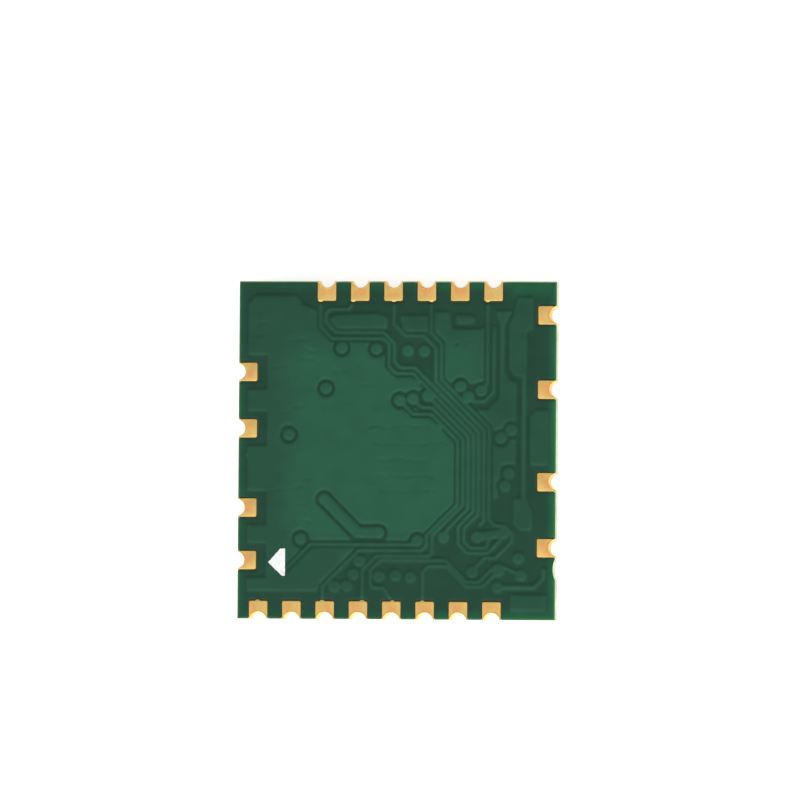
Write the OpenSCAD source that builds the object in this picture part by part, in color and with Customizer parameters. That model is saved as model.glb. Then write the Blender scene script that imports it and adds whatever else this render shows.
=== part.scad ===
// Castellated wifi module, lying on its component side with the solder face up.
// Millimetres. The layout is drawn from the lower-left corner of the board, seen from
// above, and the model's origin is under the middle of the board, at the lowest point.

/* [Board] */
// Width of the board, left edge to right edge
board_w = 12.1; // [11.7:0.1:15]
// Length of the board, bottom edge to top edge
board_l = 12.8; // [12.6:0.1:16]
// Thickness of the board over both mask faces
board_t = 0.8; // [0.6:0.1:1.6]
// Height of the mask over copper above the mask over bare laminate
relief = 0.035; // [0.02:0.005:0.05]
// Thickness of the solder mask
mask_t = 0.02; // [0.01:0.005:0.03]
// Length of the bite where the board was broken out of its panel
bite_len = 0.85; // [0.4:0.05:1.2]
// Depth of that bite
bite_depth = 0.1; // [0.05:0.01:0.15]
// Middle of that bite, up from the bottom edge
bite_y = 1.92; // [1.5:0.01:2]

/* [Castellated contacts] */
// Spacing of the contacts along the bottom and top edges
pitch = 1.27; // [1:0.01:1.5]
// First bottom contact, in from the left edge
first_contact = 0.8; // [0.6:0.05:1]
// Number of contacts on the bottom edge
bottom_count = 8; // [6:1:8]
// Columns left empty at the start of the top edge
top_skip = 2; // [1:1:3]
// Width of a contact's land on the bottom and top edges
row_land_w = 0.7; // [0.6:0.05:0.9]
// Length of a contact's land on the bottom edge
bottom_land_l = 0.68; // [0.6:0.02:0.9]
// Length of a contact's land on the top edge
top_land_l = 0.74; // [0.6:0.02:0.9]
// Width of a contact's land on the left and right edges
side_land_w = 0.68; // [0.6:0.02:0.9]
// Length of a contact's land on the left and right edges
side_land_l = 0.7; // [0.6:0.02:0.9]
// Radius of the finished half hole
hole_r = 0.31; // [0.2:0.01:0.33]
// How far the hole's middle lies outside the board's edge
hole_out = 0.06; // [0:0.01:0.1]
// Thickness of the plating, on the lands and in the hole
plating_t = 0.04; // [0.02:0.005:0.05]
// Gap between a land and the mask beside it
mask_gap_side = 0.06; // [0.02:0.01:0.1]
// Gap between a land's inner end and the mask
mask_gap_end = 0.08; // [0.04:0.01:0.12]
// Width of the track stub that shows in that gap
stub_w = 0.18; // [0.1:0.01:0.2]

/* [Copper] */
// Width of a signal track
track_w = 0.11; // [0.08:0.01:0.12]
// Clear gap each side of a track
track_gap = 0.09; // [0.07:0.01:0.12]
// Width of the power track of the solder face
wide_track_w = 0.4; // [0.2:0.02:0.42]
// Width of the supply and antenna tracks
feed_track_w = 0.3; // [0.2:0.02:0.34]
// Width of the two tracks near the right edge
side_track_w = 0.17; // [0.12:0.01:0.2]
// Spacing of the tracks in the bus
bus_pitch = 0.2; // [0.19:0.01:0.22]
// Radius of a via's pad
via_pad_r = 0.22; // [0.16:0.01:0.24]
// Clear gap round a via's pad and beside a wide track
via_gap = 0.13; // [0.1:0.01:0.16]
// Radius of the dimple in the mask over a via
dimple_r = 0.09; // [0.06:0.01:0.12]
// Depth of that dimple
dimple_depth = 0.025; // [0.01:0.005:0.03]
// Gap between a soldered land and the mask round it
land_mask_gap = 0.05; // [0.03:0.01:0.06]
// Gap between a soldered land and the ground plane round it
land_plane_gap = 0.12; // [0.1:0.01:0.16]
// From the board's edge in to the ground plane of the component face
plane_inset = 0.35; // [0.25:0.05:0.5]

/* [Radio chip] */
// Side of the square chip package
chip_w = 5; // [4:0.1:6]
// Thickness of the chip package
chip_t = 0.86; // [0.86:0.02:1]
// Spacing of the chip's leads
lead_pitch = 0.4; // [0.35:0.05:0.5]
// Width of a lead
lead_w = 0.2; // [0.15:0.01:0.25]
// Length of a lead under the package
lead_l = 0.4; // [0.3:0.05:0.5]
// Thickness of the lead frame
lead_t = 0.2; // [0.15:0.01:0.25]
// Least gap between the last leads of two sides, at a corner of the chip
lead_corner_gap = 0.2; // [0.1:0.05:0.4]
// Gap between the leads and the thermal pad
thermal_gap = 0.4; // [0.2:0.05:0.6]

/* [Crystal] */
// Width of the crystal's ceramic base
crystal_w = 2.5; // [2:0.1:2.5]
// Length of the crystal's ceramic base
crystal_l = 3.2; // [2.5:0.1:3.2]
// Thickness of the ceramic base
crystal_base_t = 0.5; // [0.4:0.02:0.54]
// Thickness of the crystal's metal lid
crystal_lid_t = 0.18; // [0.1:0.02:0.22]
// Step from the base's edge in to the lid
lid_step = 0.16; // [0.1:0.02:0.2]
// Radius of the quarter notch at each corner of the base
crystal_notch_r = 0.18; // [0.1:0.02:0.22]

/* [Small parts] */
// Thickness of the solder under every part
joint_t = 0.04; // [0.02:0.01:0.06]
// Length of a chip capacitor, resistor or small inductor
part_l = 1; // [0.8:0.05:1]
// Width of a chip capacitor, resistor or small inductor
part_w = 0.5; // [0.4:0.02:0.54]
// Height of a chip capacitor
capacitor_t = 0.5; // [0.4:0.02:0.6]
// Height of a chip resistor
resistor_t = 0.35; // [0.3:0.01:0.4]
// Height of a small inductor
rf_inductor_t = 0.55; // [0.4:0.01:0.6]
// Length of the metal end of a small part
cap_l = 0.22; // [0.15:0.01:0.3]
// How far the metal ends stand proud of a small part's body
cap_proud = 0.015; // [0.01:0.005:0.02]
// Length of a solder fillet beyond a part's end
fillet_l = 0.16; // [0.1:0.01:0.2]
// Length of the power inductor
choke_l = 2; // [1.6:0.1:2]
// Width of the power inductor
choke_w = 1.6; // [1:0.1:1.6]
// Height of the power inductor
choke_t = 0.8; // [0.6:0.02:0.8]
// Length of the power inductor's end terminal, along its underside
choke_end_l = 0.5; // [0.3:0.05:0.6]
// Thickness of the power inductor's terminals
choke_end_t = 0.08; // [0.05:0.01:0.1]
// Length of the radio filter
filter_l = 2; // [1.6:0.1:2]
// Width of the radio filter
filter_w = 1.25; // [1:0.05:1.25]
// Height of the radio filter
filter_t = 0.7; // [0.6:0.02:0.78]
// Length of the radio filter's metal ends
filter_cap_l = 0.3; // [0.2:0.02:0.4]

/* [Hidden] */
$fn = 64;
eps = 0.2; // how far a cut runs past the face it cuts

// Levels, up from the lowest point, which is the chip's face
component_z = chip_t + joint_t;
solder_z = component_z + board_t;
laminate_low_z = component_z + relief + mask_t;
laminate_high_z = solder_z - relief - mask_t;

// Contacts: the edge each one sits on, its place along that edge, and the track stub's
// place from its middle, where a track leaves it on the solder face
top_count = bottom_count - top_skip;
bottom_stubs = [-0.02, undef, -0.1, 0.15, 0.04, -0.09, undef, undef];
top_stubs = [-0.24, -0.26, 0.02, 0.18, undef, -0.22];
left_places = [2.22, 4.21, 7.21, 9.35];
right_places = [2.73, 5.22, 8.71, 11.52];
function row_x(i) = first_contact + i * pitch;
// Numbered from the arrow, up the left edge and on round the board
contacts = concat(
    [for (y = left_places) ["left", y, undef]],
    [for (i = [0 : top_count - 1]) ["top", row_x(i + top_skip), top_stubs[i]]],
    [for (i = [3 : -1 : 0]) ["right", right_places[i], undef]],
    [for (i = [bottom_count - 1 : -1 : 0]) ["bottom", row_x(i), bottom_stubs[i]]]
);
barrel_r = hole_r + plating_t;
land_corner_r = 0.06;
opening_corner_r = 0.08;

// The bus: seven parallel tracks that run down to the right and then straight down.
// Lines at 45 degrees keep the same gap when their corners step by bus_step.
bus_x = 8.36;
bus_turn_y = 6.77;
bus_step = bus_pitch * (sqrt(2) - 1);
function bus_turn(i) = [bus_x + i * bus_pitch, bus_turn_y + i * bus_step];
function bus_sum(i) = bus_turn(i)[0] + bus_turn(i)[1];
function on_bus_x(i, x) = [x, bus_sum(i) - x];
function on_bus_y(i, y) = [bus_sum(i) - y, y];
function bus_end(i, y) = [bus_turn(i)[0], y];

// Where a track meets the inner end of a bottom or top contact
function bottom_exit(i) = [row_x(i) + bottom_stubs[i], bottom_land_l];
function top_exit(i) = [row_x(i + top_skip) + top_stubs[i], board_l - top_land_l];

// Signal tracks, each a list of its corners
bus_tracks = [
    [[6.15, 8.3], [6.67, 7.78], on_bus_y(0, 7.78), bus_turn(0), bus_end(0, 4.36), [7.2, 3.2],
        [7.2, 2.83], [7, 2.63], [4.62, 2.63], [3.24, 1.25], bottom_exit(2)],
    [[6.65, 8.36], [6.98, 8.03], on_bus_y(1, 8.03), bus_turn(1), bus_end(1, 4.33),
        [7.42, 3.19], [7.42, 2.55], [7.29, 2.42], [5.3, 2.42], [4.76, 1.88], bottom_exit(3)],
    [on_bus_x(2, 7.22), bus_turn(2), bus_end(2, 4.2), [8, 3.44], [7.85, 3.12]],
    [top_exit(0), [3.1, 11.1], [3.56, 10.64], [5.5, 10.64], [5.72, 10.42], [5.72, 9.6],
        [6.01, 9.31], on_bus_y(3, 9.31), bus_turn(3), bus_end(3, 4.1), [8.4, 3.54],
        [8.4, 2.88], [8.74, 2.54], [9.52, 2.54], [10.02, 3.04], [10.15, 3.3]],
    [top_exit(1), [4.2, 11.74], [3.45, 11.74], [3.32, 11.61], [3.32, 11.25], [3.7, 10.87],
        [5.53, 10.87], [5.93, 10.47], [5.93, 9.77], [6.17, 9.53], on_bus_y(4, 9.53),
        bus_turn(4), bus_end(4, 4), [8.62, 3.46], [8.62, 2.98], [8.86, 2.74], [9.46, 2.74],
        [9.6, 3.1]],
    [top_exit(2), [5.9, 11.2], [6.35, 10.75], [7.05, 10.75], [7.52, 10.28],
        on_bus_x(5, 7.52), bus_turn(5), bus_end(5, 3.75), [9.2, 3.58]],
    [top_exit(3), [7.33, 10.85], [7.72, 10.46], on_bus_x(6, 7.72), bus_turn(6),
        bus_end(6, 3.83), [9.8, 3.58], [10.18, 3.58], [10.45, 3.31], [10.45, 2.98],
        [9.83, 2.36], [9.42, 2.36], [9.05, 1.99], [8.95, 1.83]]
];
other_tracks = [
    [top_exit(5), [9.47, 8.95], [9.25, 8.68]],
    [[9.72, 11.05], [9.72, 8.62], [9.37, 8.27], [8.93, 8.27], [8.76, 8.44]],
    [[6.85, 3], [6.7, 2.85], [2.78, 2.85], [1.8, 1.87]],
    [bottom_exit(4), [5.57, 1.2], [5.2, 1.2], [5.07, 1.33], [5.07, 1.87], [5.45, 2.25],
        [7.95, 2.25], [8.75, 1.45], [9.2, 1.45], [9.78, 2.03], [9.95, 2.12], [10.12, 2.03],
        [10.8, 1.7]],
    [bottom_exit(5), [7.06, 1.82], [7.27, 2.03], [7.98, 2.03], [8.74, 1.27], [9.32, 1.27],
        [9.95, 1.85]]
];
power_tracks = [[[3.3, 4.55], [4.56, 3.29], [5.37, 3.29]]];
supply_tracks = [[[9.12, 3.15], [9.6, 3.22], [10.15, 3.3]]];
// Tracks near the right edge, joined to the planes they meet
side_tracks = [
    [[10.87, 9.4], [10.87, 4.2]],
    [[9.9, 1.25], [11.3, 1.25], [11.65, 1.6], [11.65, 1.9]]
];

// Vias that stand on pads of their own, with a clear ring round them
pad_vias = [
    [6.15, 8.3], [6.65, 8.36], on_bus_x(2, 7.22), [7.85, 3.12], [10.15, 3.3], [9.12, 3.15],
    [8.95, 1.83], [9.25, 8.68], [8.76, 8.44], [8.46, 8.84], [6.85, 3], [3.3, 4.55],
    [5.37, 3.29], [2.4, 3.05], [10.8, 1.7], [10.7, 2.35], [9.95, 1.85], [9.9, 1.25],
    [3.92, 10.28], [5.25, 10.25], [6.45, 10.18], [7.08, 10.16], [3.33, 8.75], [1.93, 7],
    [10, 6.9], [10.4, 7.2], [10.32, 5.55], [10.18, 5.08], [3.7, 1.25], [4.18, 1.28],
    [4.42, 1.72], [4.65, 2.22], [5.4, 1.65], [6.03, 1.68], [6.6, 1.62]
];
// Vias through the ground planes, which show only as dimples
plane_vias = [
    [0.95, 11.2], [0.7, 10.8], [1.75, 10.9], [2.3, 10.88], [2.28, 10.5], [2.85, 10.15],
    [2.65, 9.8], [1.5, 9.5], [2.05, 9.2], [3.85, 9.3], [4.85, 8.87], [4.4, 8.33],
    [1.8, 7.75], [2.3, 7.93], [1.75, 7.42], [1.65, 4.83], [2.25, 4.97], [2.62, 5.22],
    [2.37, 4.35], [2.75, 4.03], [2.87, 3.68], [1.72, 3.32], [1.9, 1.3], [0.4, 6.22],
    [5.45, 11.35], [8.3, 10.4], [8.75, 10.5], [8.33, 10.17], [10.75, 9.85], [11.6, 6.9],
    [11, 0.73], [11.5, 0.7], [7.1, 7.33], [6.75, 8.95]
];
// The field of vias under the chip's thermal pad
thermal_via_pitch = [0.58, 0.6];
thermal_via_start = [5.28, 4.85];
thermal_vias = [for (i = [0 : 4], j = [0 : 4])
    thermal_via_start + [i * thermal_via_pitch[0], j * thermal_via_pitch[1]]];

// Copper planes, drawn roughly: the gaps round tracks and vias give them their real edges
main_plane = [
    [0.35, 1.05], [3, 1.05], [4.7, 2.55], [7.2, 3.2], bus_end(0, 4.36), bus_turn(0),
    on_bus_y(3, 9.31), [5.9, 9.4], [5.7, 10.5], [3.2, 10.75], [3.05, 11.65], [2.4, 11.95],
    [2.2, 12.25], [0.65, 12.25], [0.35, 11.95]
];
small_planes = [
    [[7.4, 10.7], [7.4, 11.65], [8, 11.65], [8.12, 11], [9.2, 11], [9.45, 11.15],
        [9.45, 8.85], [8.95, 8.95], [7.9, 8.85]],
    [[9, 7.95], [9.5, 7.95], [9.95, 8.45], [9.95, 11.2], [9.8, 11.68], [10.42, 11.68],
        [10.13, 11.2], [10.13, 9.4], [10.3, 9.12], [10.56, 9], [10.56, 7.3], [9.7, 7.1]],
    [[9.6, 6.7], [10.56, 6.9], [10.56, 5.9], [10, 5.85], [9.9, 4.6], [9.6, 4.6]],
    [[10.3, 9.55], [10.5, 9.25], [10.78, 9.2], [10.95, 9.2], [10.95, 10.9], [11.2, 11],
        [11.2, 12.2], [10.6, 12.2], [10.45, 11.5], [10.3, 11.2]],
    [[11.12, 5.85], [11.78, 5.85], [11.78, 7.95], [11.35, 7.95], [11.12, 7.72]],
    [[10.5, 4.6], [10.5, 3.65], [10.75, 3.4], [11.2, 3.4], [11.2, 4.1], [11, 4.6]],
    [[3.48, 11.2], [3.48, 11.4], [3.65, 11.53], [5.3, 11.58], [5.65, 11.45], [5.65, 10.9],
        [3.7, 10.9]],
    [[6.15, 11.5], [7.3, 11.5], [7.3, 10.7], [6.3, 10.7]],
    [[8.27, 11.22], [8.27, 11.52], [8.85, 11.52], [9, 11.37], [8.85, 11.17]],
    [[10.4, 0.35], [11.75, 0.35], [11.75, 0.95], [10.4, 0.95]]
];
contact_keepout = [1.1, 1.3]; // plane-free area behind a contact, in and along the edge

// Chip and parts round it, placed from the chip's middle and edges
chip_x = 6.4;
chip_y = 6.1;
chip_left = chip_x - chip_w / 2;
chip_right = chip_x + chip_w / 2;
chip_low = chip_y - chip_w / 2;
chip_high = chip_y + chip_w / 2;
lead_reach = chip_w - 2 * (lead_l + lead_corner_gap) - lead_w;
chip_side_leads = floor(lead_reach / lead_pitch + 0.001) + 1;
thermal_w = chip_w - 2 * (lead_l + thermal_gap);
function lead_place(i) = (i - (chip_side_leads - 1) / 2) * lead_pitch;
part_gap = 0.2; // least clear space between two parts
pin_mark_r = 0.25;
pin_mark_depth = 0.03;
pin_mark_in = 0.6;
row_gap = part_gap + part_w / 2; // from a chip edge to the middle of the row beside it
crystal_x = chip_left - 2 * part_gap - crystal_w / 2;
crystal_y = chip_y;
crystal_land = [0.8, 1]; // across and along
choke_x = 5;
choke_y = chip_high + 2 * part_gap + part_w + choke_w / 2;
choke_end_w = choke_w - 0.3;
filter_x = chip_right + 2 * part_gap + filter_w / 2;
filter_y = chip_y + 0.3;
match_out = filter_l / 2 + 0.5 + part_l / 2; // from the filter to the parts above and below it
upper_row_y = choke_y + 0.1;

// Small parts: x, y and turn
capacitors = [
    [crystal_x, crystal_y + crystal_l / 2 + row_gap, 0],
    [crystal_x, crystal_y - crystal_l / 2 - row_gap, 0],
    [4.5, chip_high + row_gap, 0],
    [6, chip_high + row_gap, 0],
    [4.5, chip_low - row_gap, 0],
    [6, chip_low - row_gap, 0],
    [6.8, upper_row_y, 90],
    [7.6, upper_row_y, 90],
    [8.4, upper_row_y, 90],
    [5.2, chip_low - row_gap - part_w - 2 * part_gap, 0],
    [chip_right + 0.7, filter_y - match_out, 90],
    [chip_right + 1.6, filter_y - match_out, 90]
];
resistors = [
    [7.5, chip_high + row_gap, 0],
    [7.5, chip_low - row_gap, 0],
    [9.2, upper_row_y, 90],
    [10, upper_row_y, 90],
    [6.75, chip_low - row_gap - part_w - 2 * part_gap, 0]
];
rf_inductors = [
    [chip_right + 0.7, filter_y + match_out, 90],
    [chip_right + 1.6, filter_y + match_out, 90]
];

// Soldered lands of the component face, each its middle, its width and its length
function end_lands(place, length, width, end_l) = [for (side = [-1, 1])
    let (out = side * (length + fillet_l - end_l) / 2, reach = end_l + fillet_l)
        place[2] == 0 ? [place[0] + out, place[1], reach, width] :
        [place[0], place[1] + out, width, reach]];
small_lands = [for (place = concat(capacitors, resistors, rf_inductors))
    each end_lands(place, part_l, part_w, cap_l)];
crystal_lands = [for (x = [-1, 1], y = [-1, 1])
    [crystal_x + x * (crystal_w - crystal_land[0]) / 2,
        crystal_y + y * (crystal_l - crystal_land[1]) / 2, crystal_land[0], crystal_land[1]]];
part_lands = concat(
    small_lands,
    crystal_lands,
    end_lands([choke_x, choke_y, 0], choke_l, choke_end_w, choke_end_l),
    end_lands([filter_x, filter_y, 90], filter_l, filter_w, filter_cap_l),
    [[chip_x, chip_y, thermal_w, thermal_w]]
);
lead_out = (chip_w - lead_l) / 2;
lead_lands = [for (i = [0 : chip_side_leads - 1], side = [-1, 1]) each [
    [chip_x + side * lead_out, chip_y + lead_place(i), lead_l, lead_w],
    [chip_x + lead_place(i), chip_y + side * lead_out, lead_w, lead_l]
]];
// The leads of one side share one opening in the mask
lead_row_l = (chip_side_leads - 1) * lead_pitch + lead_w;
lead_openings = [for (side = [-1, 1]) each [
    [chip_x + side * lead_out, chip_y, lead_l, lead_row_l],
    [chip_x, chip_y + side * lead_out, lead_row_l, lead_l]
]];

// Where a track of the component face starts or ends
function top_lead(i) = [chip_x + lead_place(i), chip_y + lead_out];
function low_lead(i) = [chip_x + lead_place(i), chip_y - lead_out];
function left_lead(i) = [chip_x - lead_out, chip_y + lead_place(i)];
function right_lead(i) = [chip_x + lead_out, chip_y + lead_place(i)];
function top_end(i) = [row_x(i + top_skip), board_l - top_land_l];
function bottom_end(i) = [row_x(i), bottom_land_l];
function left_end(i) = [side_land_l, left_places[i]];
function right_end(i) = [board_w - side_land_l, right_places[i]];

component_tracks = [
    [top_lead(0), [4.6, 9.45], [4.3, 9.75]],
    [top_lead(1), [5, 8.95]],
    [top_lead(2), [5.4, 8.95]],
    [top_lead(3), [5.8, 8.65], [6, 8.85], [6, 9.4], [5.83, 9.57], [5.83, 9.8]],
    [top_lead(4), [6.2, 8.68], [6.42, 8.9]],
    [top_lead(5), [6.6, 8.62], [6.86, 8.88]],
    [top_lead(7), [7.4, 9.45], [7.6, 9.65], [7.6, 9.9]],
    [top_lead(8), [7.8, 8.95]],
    [top_lead(9), [8.2, 8.6], [8.35, 8.75], [8.35, 9.6], [8.4, 9.65], [8.4, 9.9]],
    [low_lead(0), [4.6, 2.75], [3.34, 1.49], bottom_end(2)],
    [low_lead(1), [5, 3.25]],
    [low_lead(2), [5.4, 3.25]],
    [low_lead(3), [5.8, 3.55], [6, 3.35], [6, 2.75], [5.8, 2.55], [5.8, 2.3]],
    [low_lead(4), [6.2, 3.52], [6.42, 3.3]],
    [low_lead(5), [6.6, 3.58], [6.86, 3.32]],
    [low_lead(7), [7.4, 2.75], [7.2, 2.55], [7.2, 2.3]],
    [low_lead(8), [7.8, 3.25]],
    [low_lead(9), [8.2, 3.6], [8.35, 3.45], [8.35, 2.55], [9.45, 1.45], [9.45, 0.6]],
    [left_lead(9), [3.35, 7.9], [3.1, 8.15], [2.8, 8.15]],
    [left_lead(7), [3.3, 7.1]],
    [left_lead(5), [1.1, 6.3], [0.5, 6.9]],
    [left_lead(4), [0.95, 5.9], [0.45, 5.4], [0.45, 4.3]],
    [left_lead(2), [3.3, 5.1]],
    [left_lead(0), [3.4, 4.3], [3.15, 4.05], [2.8, 4.05]],
    [right_lead(9), [9.4, 7.9]],
    [right_lead(8), [9, 7.5], [9.15, 7.35], [9.4, 7.35]],
    [right_lead(0), [8.85, 4.3], [9.12, 4.03], [9.12, 3.15], [9.54, 2.73], right_end(0)],
    [[6.8, 10.9], [6.8, 11.5], [7.15, 11.85], top_end(3)],
    [[7.6, 10.9], [7.6, 11.2], [8.42, 12.02], top_end(4)],
    [[10, 10.9], [10, 11.5], [9.69, 11.81], top_end(5)],
    [[9.2, 9.9], [9.2, 8.88], [8.76, 8.44]],
    [top_end(0), [3.34, 10.64], [2.85, 10.15]],
    [left_end(3), [2.73, 9.35], [3.33, 8.75]],
    [left_end(0), [1.57, 2.22], [2.4, 3.05]],
    [[4.8, 2.1], [4.61, 1.91], bottom_end(3)],
    [[5.8, 2.1], [5.88, 2.02], bottom_end(4)],
    [[6.25, 2.1], [6.25, 1.9], [6.6, 1.55]],
    [[7.15, 2.1], bottom_end(5)],
    [[7.87, 3], [7.87, 2.2], [8.42, 1.65], bottom_end(6)],
    [[9.6, 4], [9.6, 3.85], [10.15, 3.3]],
    [[10.5, 4], [10.5, 3.65], [10.15, 3.3]]
];
feed_tracks = [
    [[4.17, 10.8], [4.17, 11.3], [4.61, 11.74], top_end(1)],
    [[5.88, 10.8], top_end(2)],
    [[10.5, 7.4], [10.5, 7.9]],
    [[10.5, 8.87], [10.74, 8.87], [10.9, 8.71], right_end(2)],
    [[9.6, 5.4], [9.6, 4.9]],
    [[10.4, 5.4], [10.4, 4.9]],
    [[10.3, 5.4], [10.78, 5.4], [10.96, 5.22], right_end(1)]
];

// Vias that come out on the component face clear of every land and its mask opening
function clearance(place, land) =
    max(abs(place[0] - land[0]) - land[2] / 2, abs(place[1] - land[1]) - land[3] / 2);
nearest_land = [for (place = concat(pad_vias, plane_vias))
    min([for (land = concat(part_lands, lead_openings)) clearance(place, land)])];
function is_clear(i) = nearest_land[i] > land_mask_gap + via_pad_r;
component_vias = [for (i = [0 : len(pad_vias) - 1]) if (is_clear(i)) pad_vias[i]];
component_plane_vias = [for (i = [0 : len(plane_vias) - 1])
    if (is_clear(len(pad_vias) + i)) plane_vias[i]];

function numbered(name, i) = str(name, i < 9 ? "_0" : "_", i + 1);
function names(name, list) = [for (i = [0 : len(list) - 1]) numbered(name, i)];

mask_green = [0.17, 0.37, 0.28];
gold = [0.9, 0.68, 0.38];
chip_black = [0.1, 0.1, 0.11];
tin = [0.78, 0.79, 0.8];
solder_grey = [0.7, 0.71, 0.72];
lid_silver = [0.82, 0.8, 0.74];
base_ivory = [0.75, 0.7, 0.62];
ferrite_grey = [0.24, 0.25, 0.27];
filter_blue = [0.75, 0.8, 0.84];
capacitor_tan = [0.66, 0.5, 0.36];
resistor_black = [0.13, 0.13, 0.15];
coil_white = [0.85, 0.86, 0.84];

// ---- Tracks ----

function unit(v) = v / norm(v);
function left_normal(a, b) = let (d = unit(b - a)) [-d[1], d[0]];
function corner_normal(a, b, c) =
    let (n = left_normal(a, b), m = left_normal(b, c)) (n + m) / (1 + n * m);
function point_normal(path, i) =
    i == 0 ? left_normal(path[0], path[1]) :
    i == len(path) - 1 ? left_normal(path[i - 1], path[i]) :
    corner_normal(path[i - 1], path[i], path[i + 1]);
function beside(path, d) = [for (i = [0 : len(path) - 1]) path[i] + d * point_normal(path, i)];
function reversed(list) = [for (i = [len(list) - 1 : -1 : 0]) list[i]];

// A track of a given width with mitred corners and round ends
module track(path, width) {
    polygon(concat(beside(path, -width / 2), reversed(beside(path, width / 2))));
    for (end = [path[0], path[len(path) - 1]]) translate(end) circle(d = width);
}

module tracks(paths, width, extra) {
    for (path = paths) track(path, width + 2 * extra);
}

module via_pads(places, extra) {
    for (place = places) translate(place) circle(r = via_pad_r + extra);
}

module keepout(contact) {
    at_contact(contact) translate([-contact_keepout[1] / 2, 0])
        square([contact_keepout[1], contact_keepout[0]]);
}

// The copper of the solder face, seen from above
module solder_copper() {
    difference() {
        union() {
            polygon(main_plane);
            for (outline = small_planes) polygon(outline);
        }
        tracks(concat(bus_tracks, other_tracks), track_w, track_gap);
        tracks(power_tracks, wide_track_w, via_gap);
        tracks(supply_tracks, feed_track_w, via_gap);
        via_pads(pad_vias, via_gap);
        for (contact = contacts) if (contact[0] == "left") keepout(contact);
    }
    tracks(concat(bus_tracks, other_tracks), track_w, 0);
    tracks(power_tracks, wide_track_w, 0);
    tracks(supply_tracks, feed_track_w, 0);
    tracks(side_tracks, side_track_w, 0);
    via_pads(pad_vias, 0);
}

module lands(list, extra) {
    for (land = list) translate([land[0], land[1]])
        square([land[2] + 2 * extra, land[3] + 2 * extra], center = true);
}

// The copper of the component face, seen from above through the board
module component_copper() {
    difference() {
        translate([plane_inset, plane_inset])
            square([board_w - 2 * plane_inset, board_l - 2 * plane_inset]);
        tracks(component_tracks, track_w, track_gap);
        tracks(feed_tracks, feed_track_w, via_gap);
        via_pads(component_vias, via_gap);
        lands(concat(part_lands, lead_openings), land_plane_gap);
        for (contact = contacts) keepout(contact);
    }
    tracks(component_tracks, track_w, 0);
    tracks(feed_tracks, feed_track_w, 0);
    via_pads(component_vias, 0);
}

// ---- Board ----

module board_frame() {
    translate([-board_w / 2, -board_l / 2, 0]) children();
}

// Children are drawn standing on the component face, which looks down
module on_component_face() {
    board_frame() translate([0, 0, component_z]) mirror([0, 0, 1]) children();
}

// Children are drawn with the board's edge along x and the board on the +y side
module at_contact(contact) {
    edge = contact[0];
    along = contact[1];
    if (edge == "bottom") translate([along, 0, 0]) children();
    if (edge == "top") translate([along, board_l, 0]) rotate(180) children();
    if (edge == "left") translate([0, along, 0]) rotate(-90) children();
    if (edge == "right") translate([board_w, along, 0]) rotate(90) children();
}

function land_w(contact) =
    contact[0] == "bottom" || contact[0] == "top" ? row_land_w : side_land_w;
function land_l(contact) =
    contact[0] == "bottom" ? bottom_land_l : contact[0] == "top" ? top_land_l : side_land_l;

// A tongue that runs in from the edge and has two round corners
module tongue(width, length, corner_r, outside) {
    translate([-width / 2, -outside]) square([width, length + outside - corner_r]);
    translate([corner_r - width / 2, -outside])
        square([width - 2 * corner_r, length + outside]);
    for (side = [-1, 1])
        translate([side * (width / 2 - corner_r), length - corner_r]) circle(r = corner_r);
}

module mask_opening(contact) {
    tongue(land_w(contact) + 2 * mask_gap_side, land_l(contact) + mask_gap_end,
        opening_corner_r, eps);
}

module circuit_board() {
    color(mask_green) board_frame() {
        difference() {
            union() {
                translate([0, 0, component_z + relief])
                    cube([board_w, board_l, board_t - 2 * relief]);
                translate([0, 0, solder_z - 2 * relief]) linear_extrude(2 * relief)
                    solder_copper();
                translate([0, 0, component_z]) linear_extrude(2 * relief) component_copper();
            }
            for (contact = contacts) at_contact(contact) {
                translate([0, -hole_out, 0]) cylinder(r = barrel_r, h = solder_z + eps);
                translate([0, 0, laminate_high_z]) linear_extrude(board_t)
                    mask_opening(contact);
                translate([0, 0, laminate_low_z - board_t]) linear_extrude(board_t)
                    mask_opening(contact);
            }
            bite();
            for (place = concat(pad_vias, plane_vias, thermal_vias)) dimple(place, solder_z);
            for (place = concat(component_vias, component_plane_vias)) dimple(place, component_z);
            translate([0, 0, laminate_low_z - board_t]) linear_extrude(board_t)
                lands(concat(part_lands, lead_openings), land_mask_gap);
        }
        translate([0, 0, component_z + mask_t]) linear_extrude(relief + mask_t)
            lands(concat(part_lands, lead_lands), 0);
    }
}

module bite() {
    bite_r = (bite_len * bite_len / 4 + bite_depth * bite_depth) / (2 * bite_depth);
    translate([board_w + bite_r - bite_depth, bite_y, 0])
        cylinder(r = bite_r, h = solder_z + eps);
}

// A dent in the mask over a via, in the face at a level
module dimple(place, level) {
    translate([place[0], place[1], level - dimple_depth])
        cylinder(r = dimple_r, h = 2 * dimple_depth);
}

// ---- Castellated contacts ----

// One contact: a land on each face joined by the plated half hole
module contact(contact) {
    low_z = laminate_low_z - plating_t;
    high_z = laminate_high_z + plating_t;
    color(gold) board_frame() at_contact(contact) difference() {
        union() {
            translate([0, 0, laminate_high_z]) linear_extrude(plating_t) {
                land(contact);
                if (contact[2] != undef) stub(contact);
            }
            translate([0, 0, low_z]) linear_extrude(plating_t) land(contact);
            translate([0, -hole_out, low_z]) cylinder(r = barrel_r, h = high_z - low_z);
        }
        translate([0, -hole_out, 0]) cylinder(r = hole_r, h = high_z + eps);
        translate([-land_w(contact), -2 * barrel_r, 0])
            cube([2 * land_w(contact), 2 * barrel_r, high_z + eps]);
    }
}

// A top contact is drawn turned half round, so its stub is on the other hand
function stub_turn(contact) = contact[0] == "top" ? -1 : 1;

module land(contact) {
    tongue(land_w(contact), land_l(contact), land_corner_r, eps);
}

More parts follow.
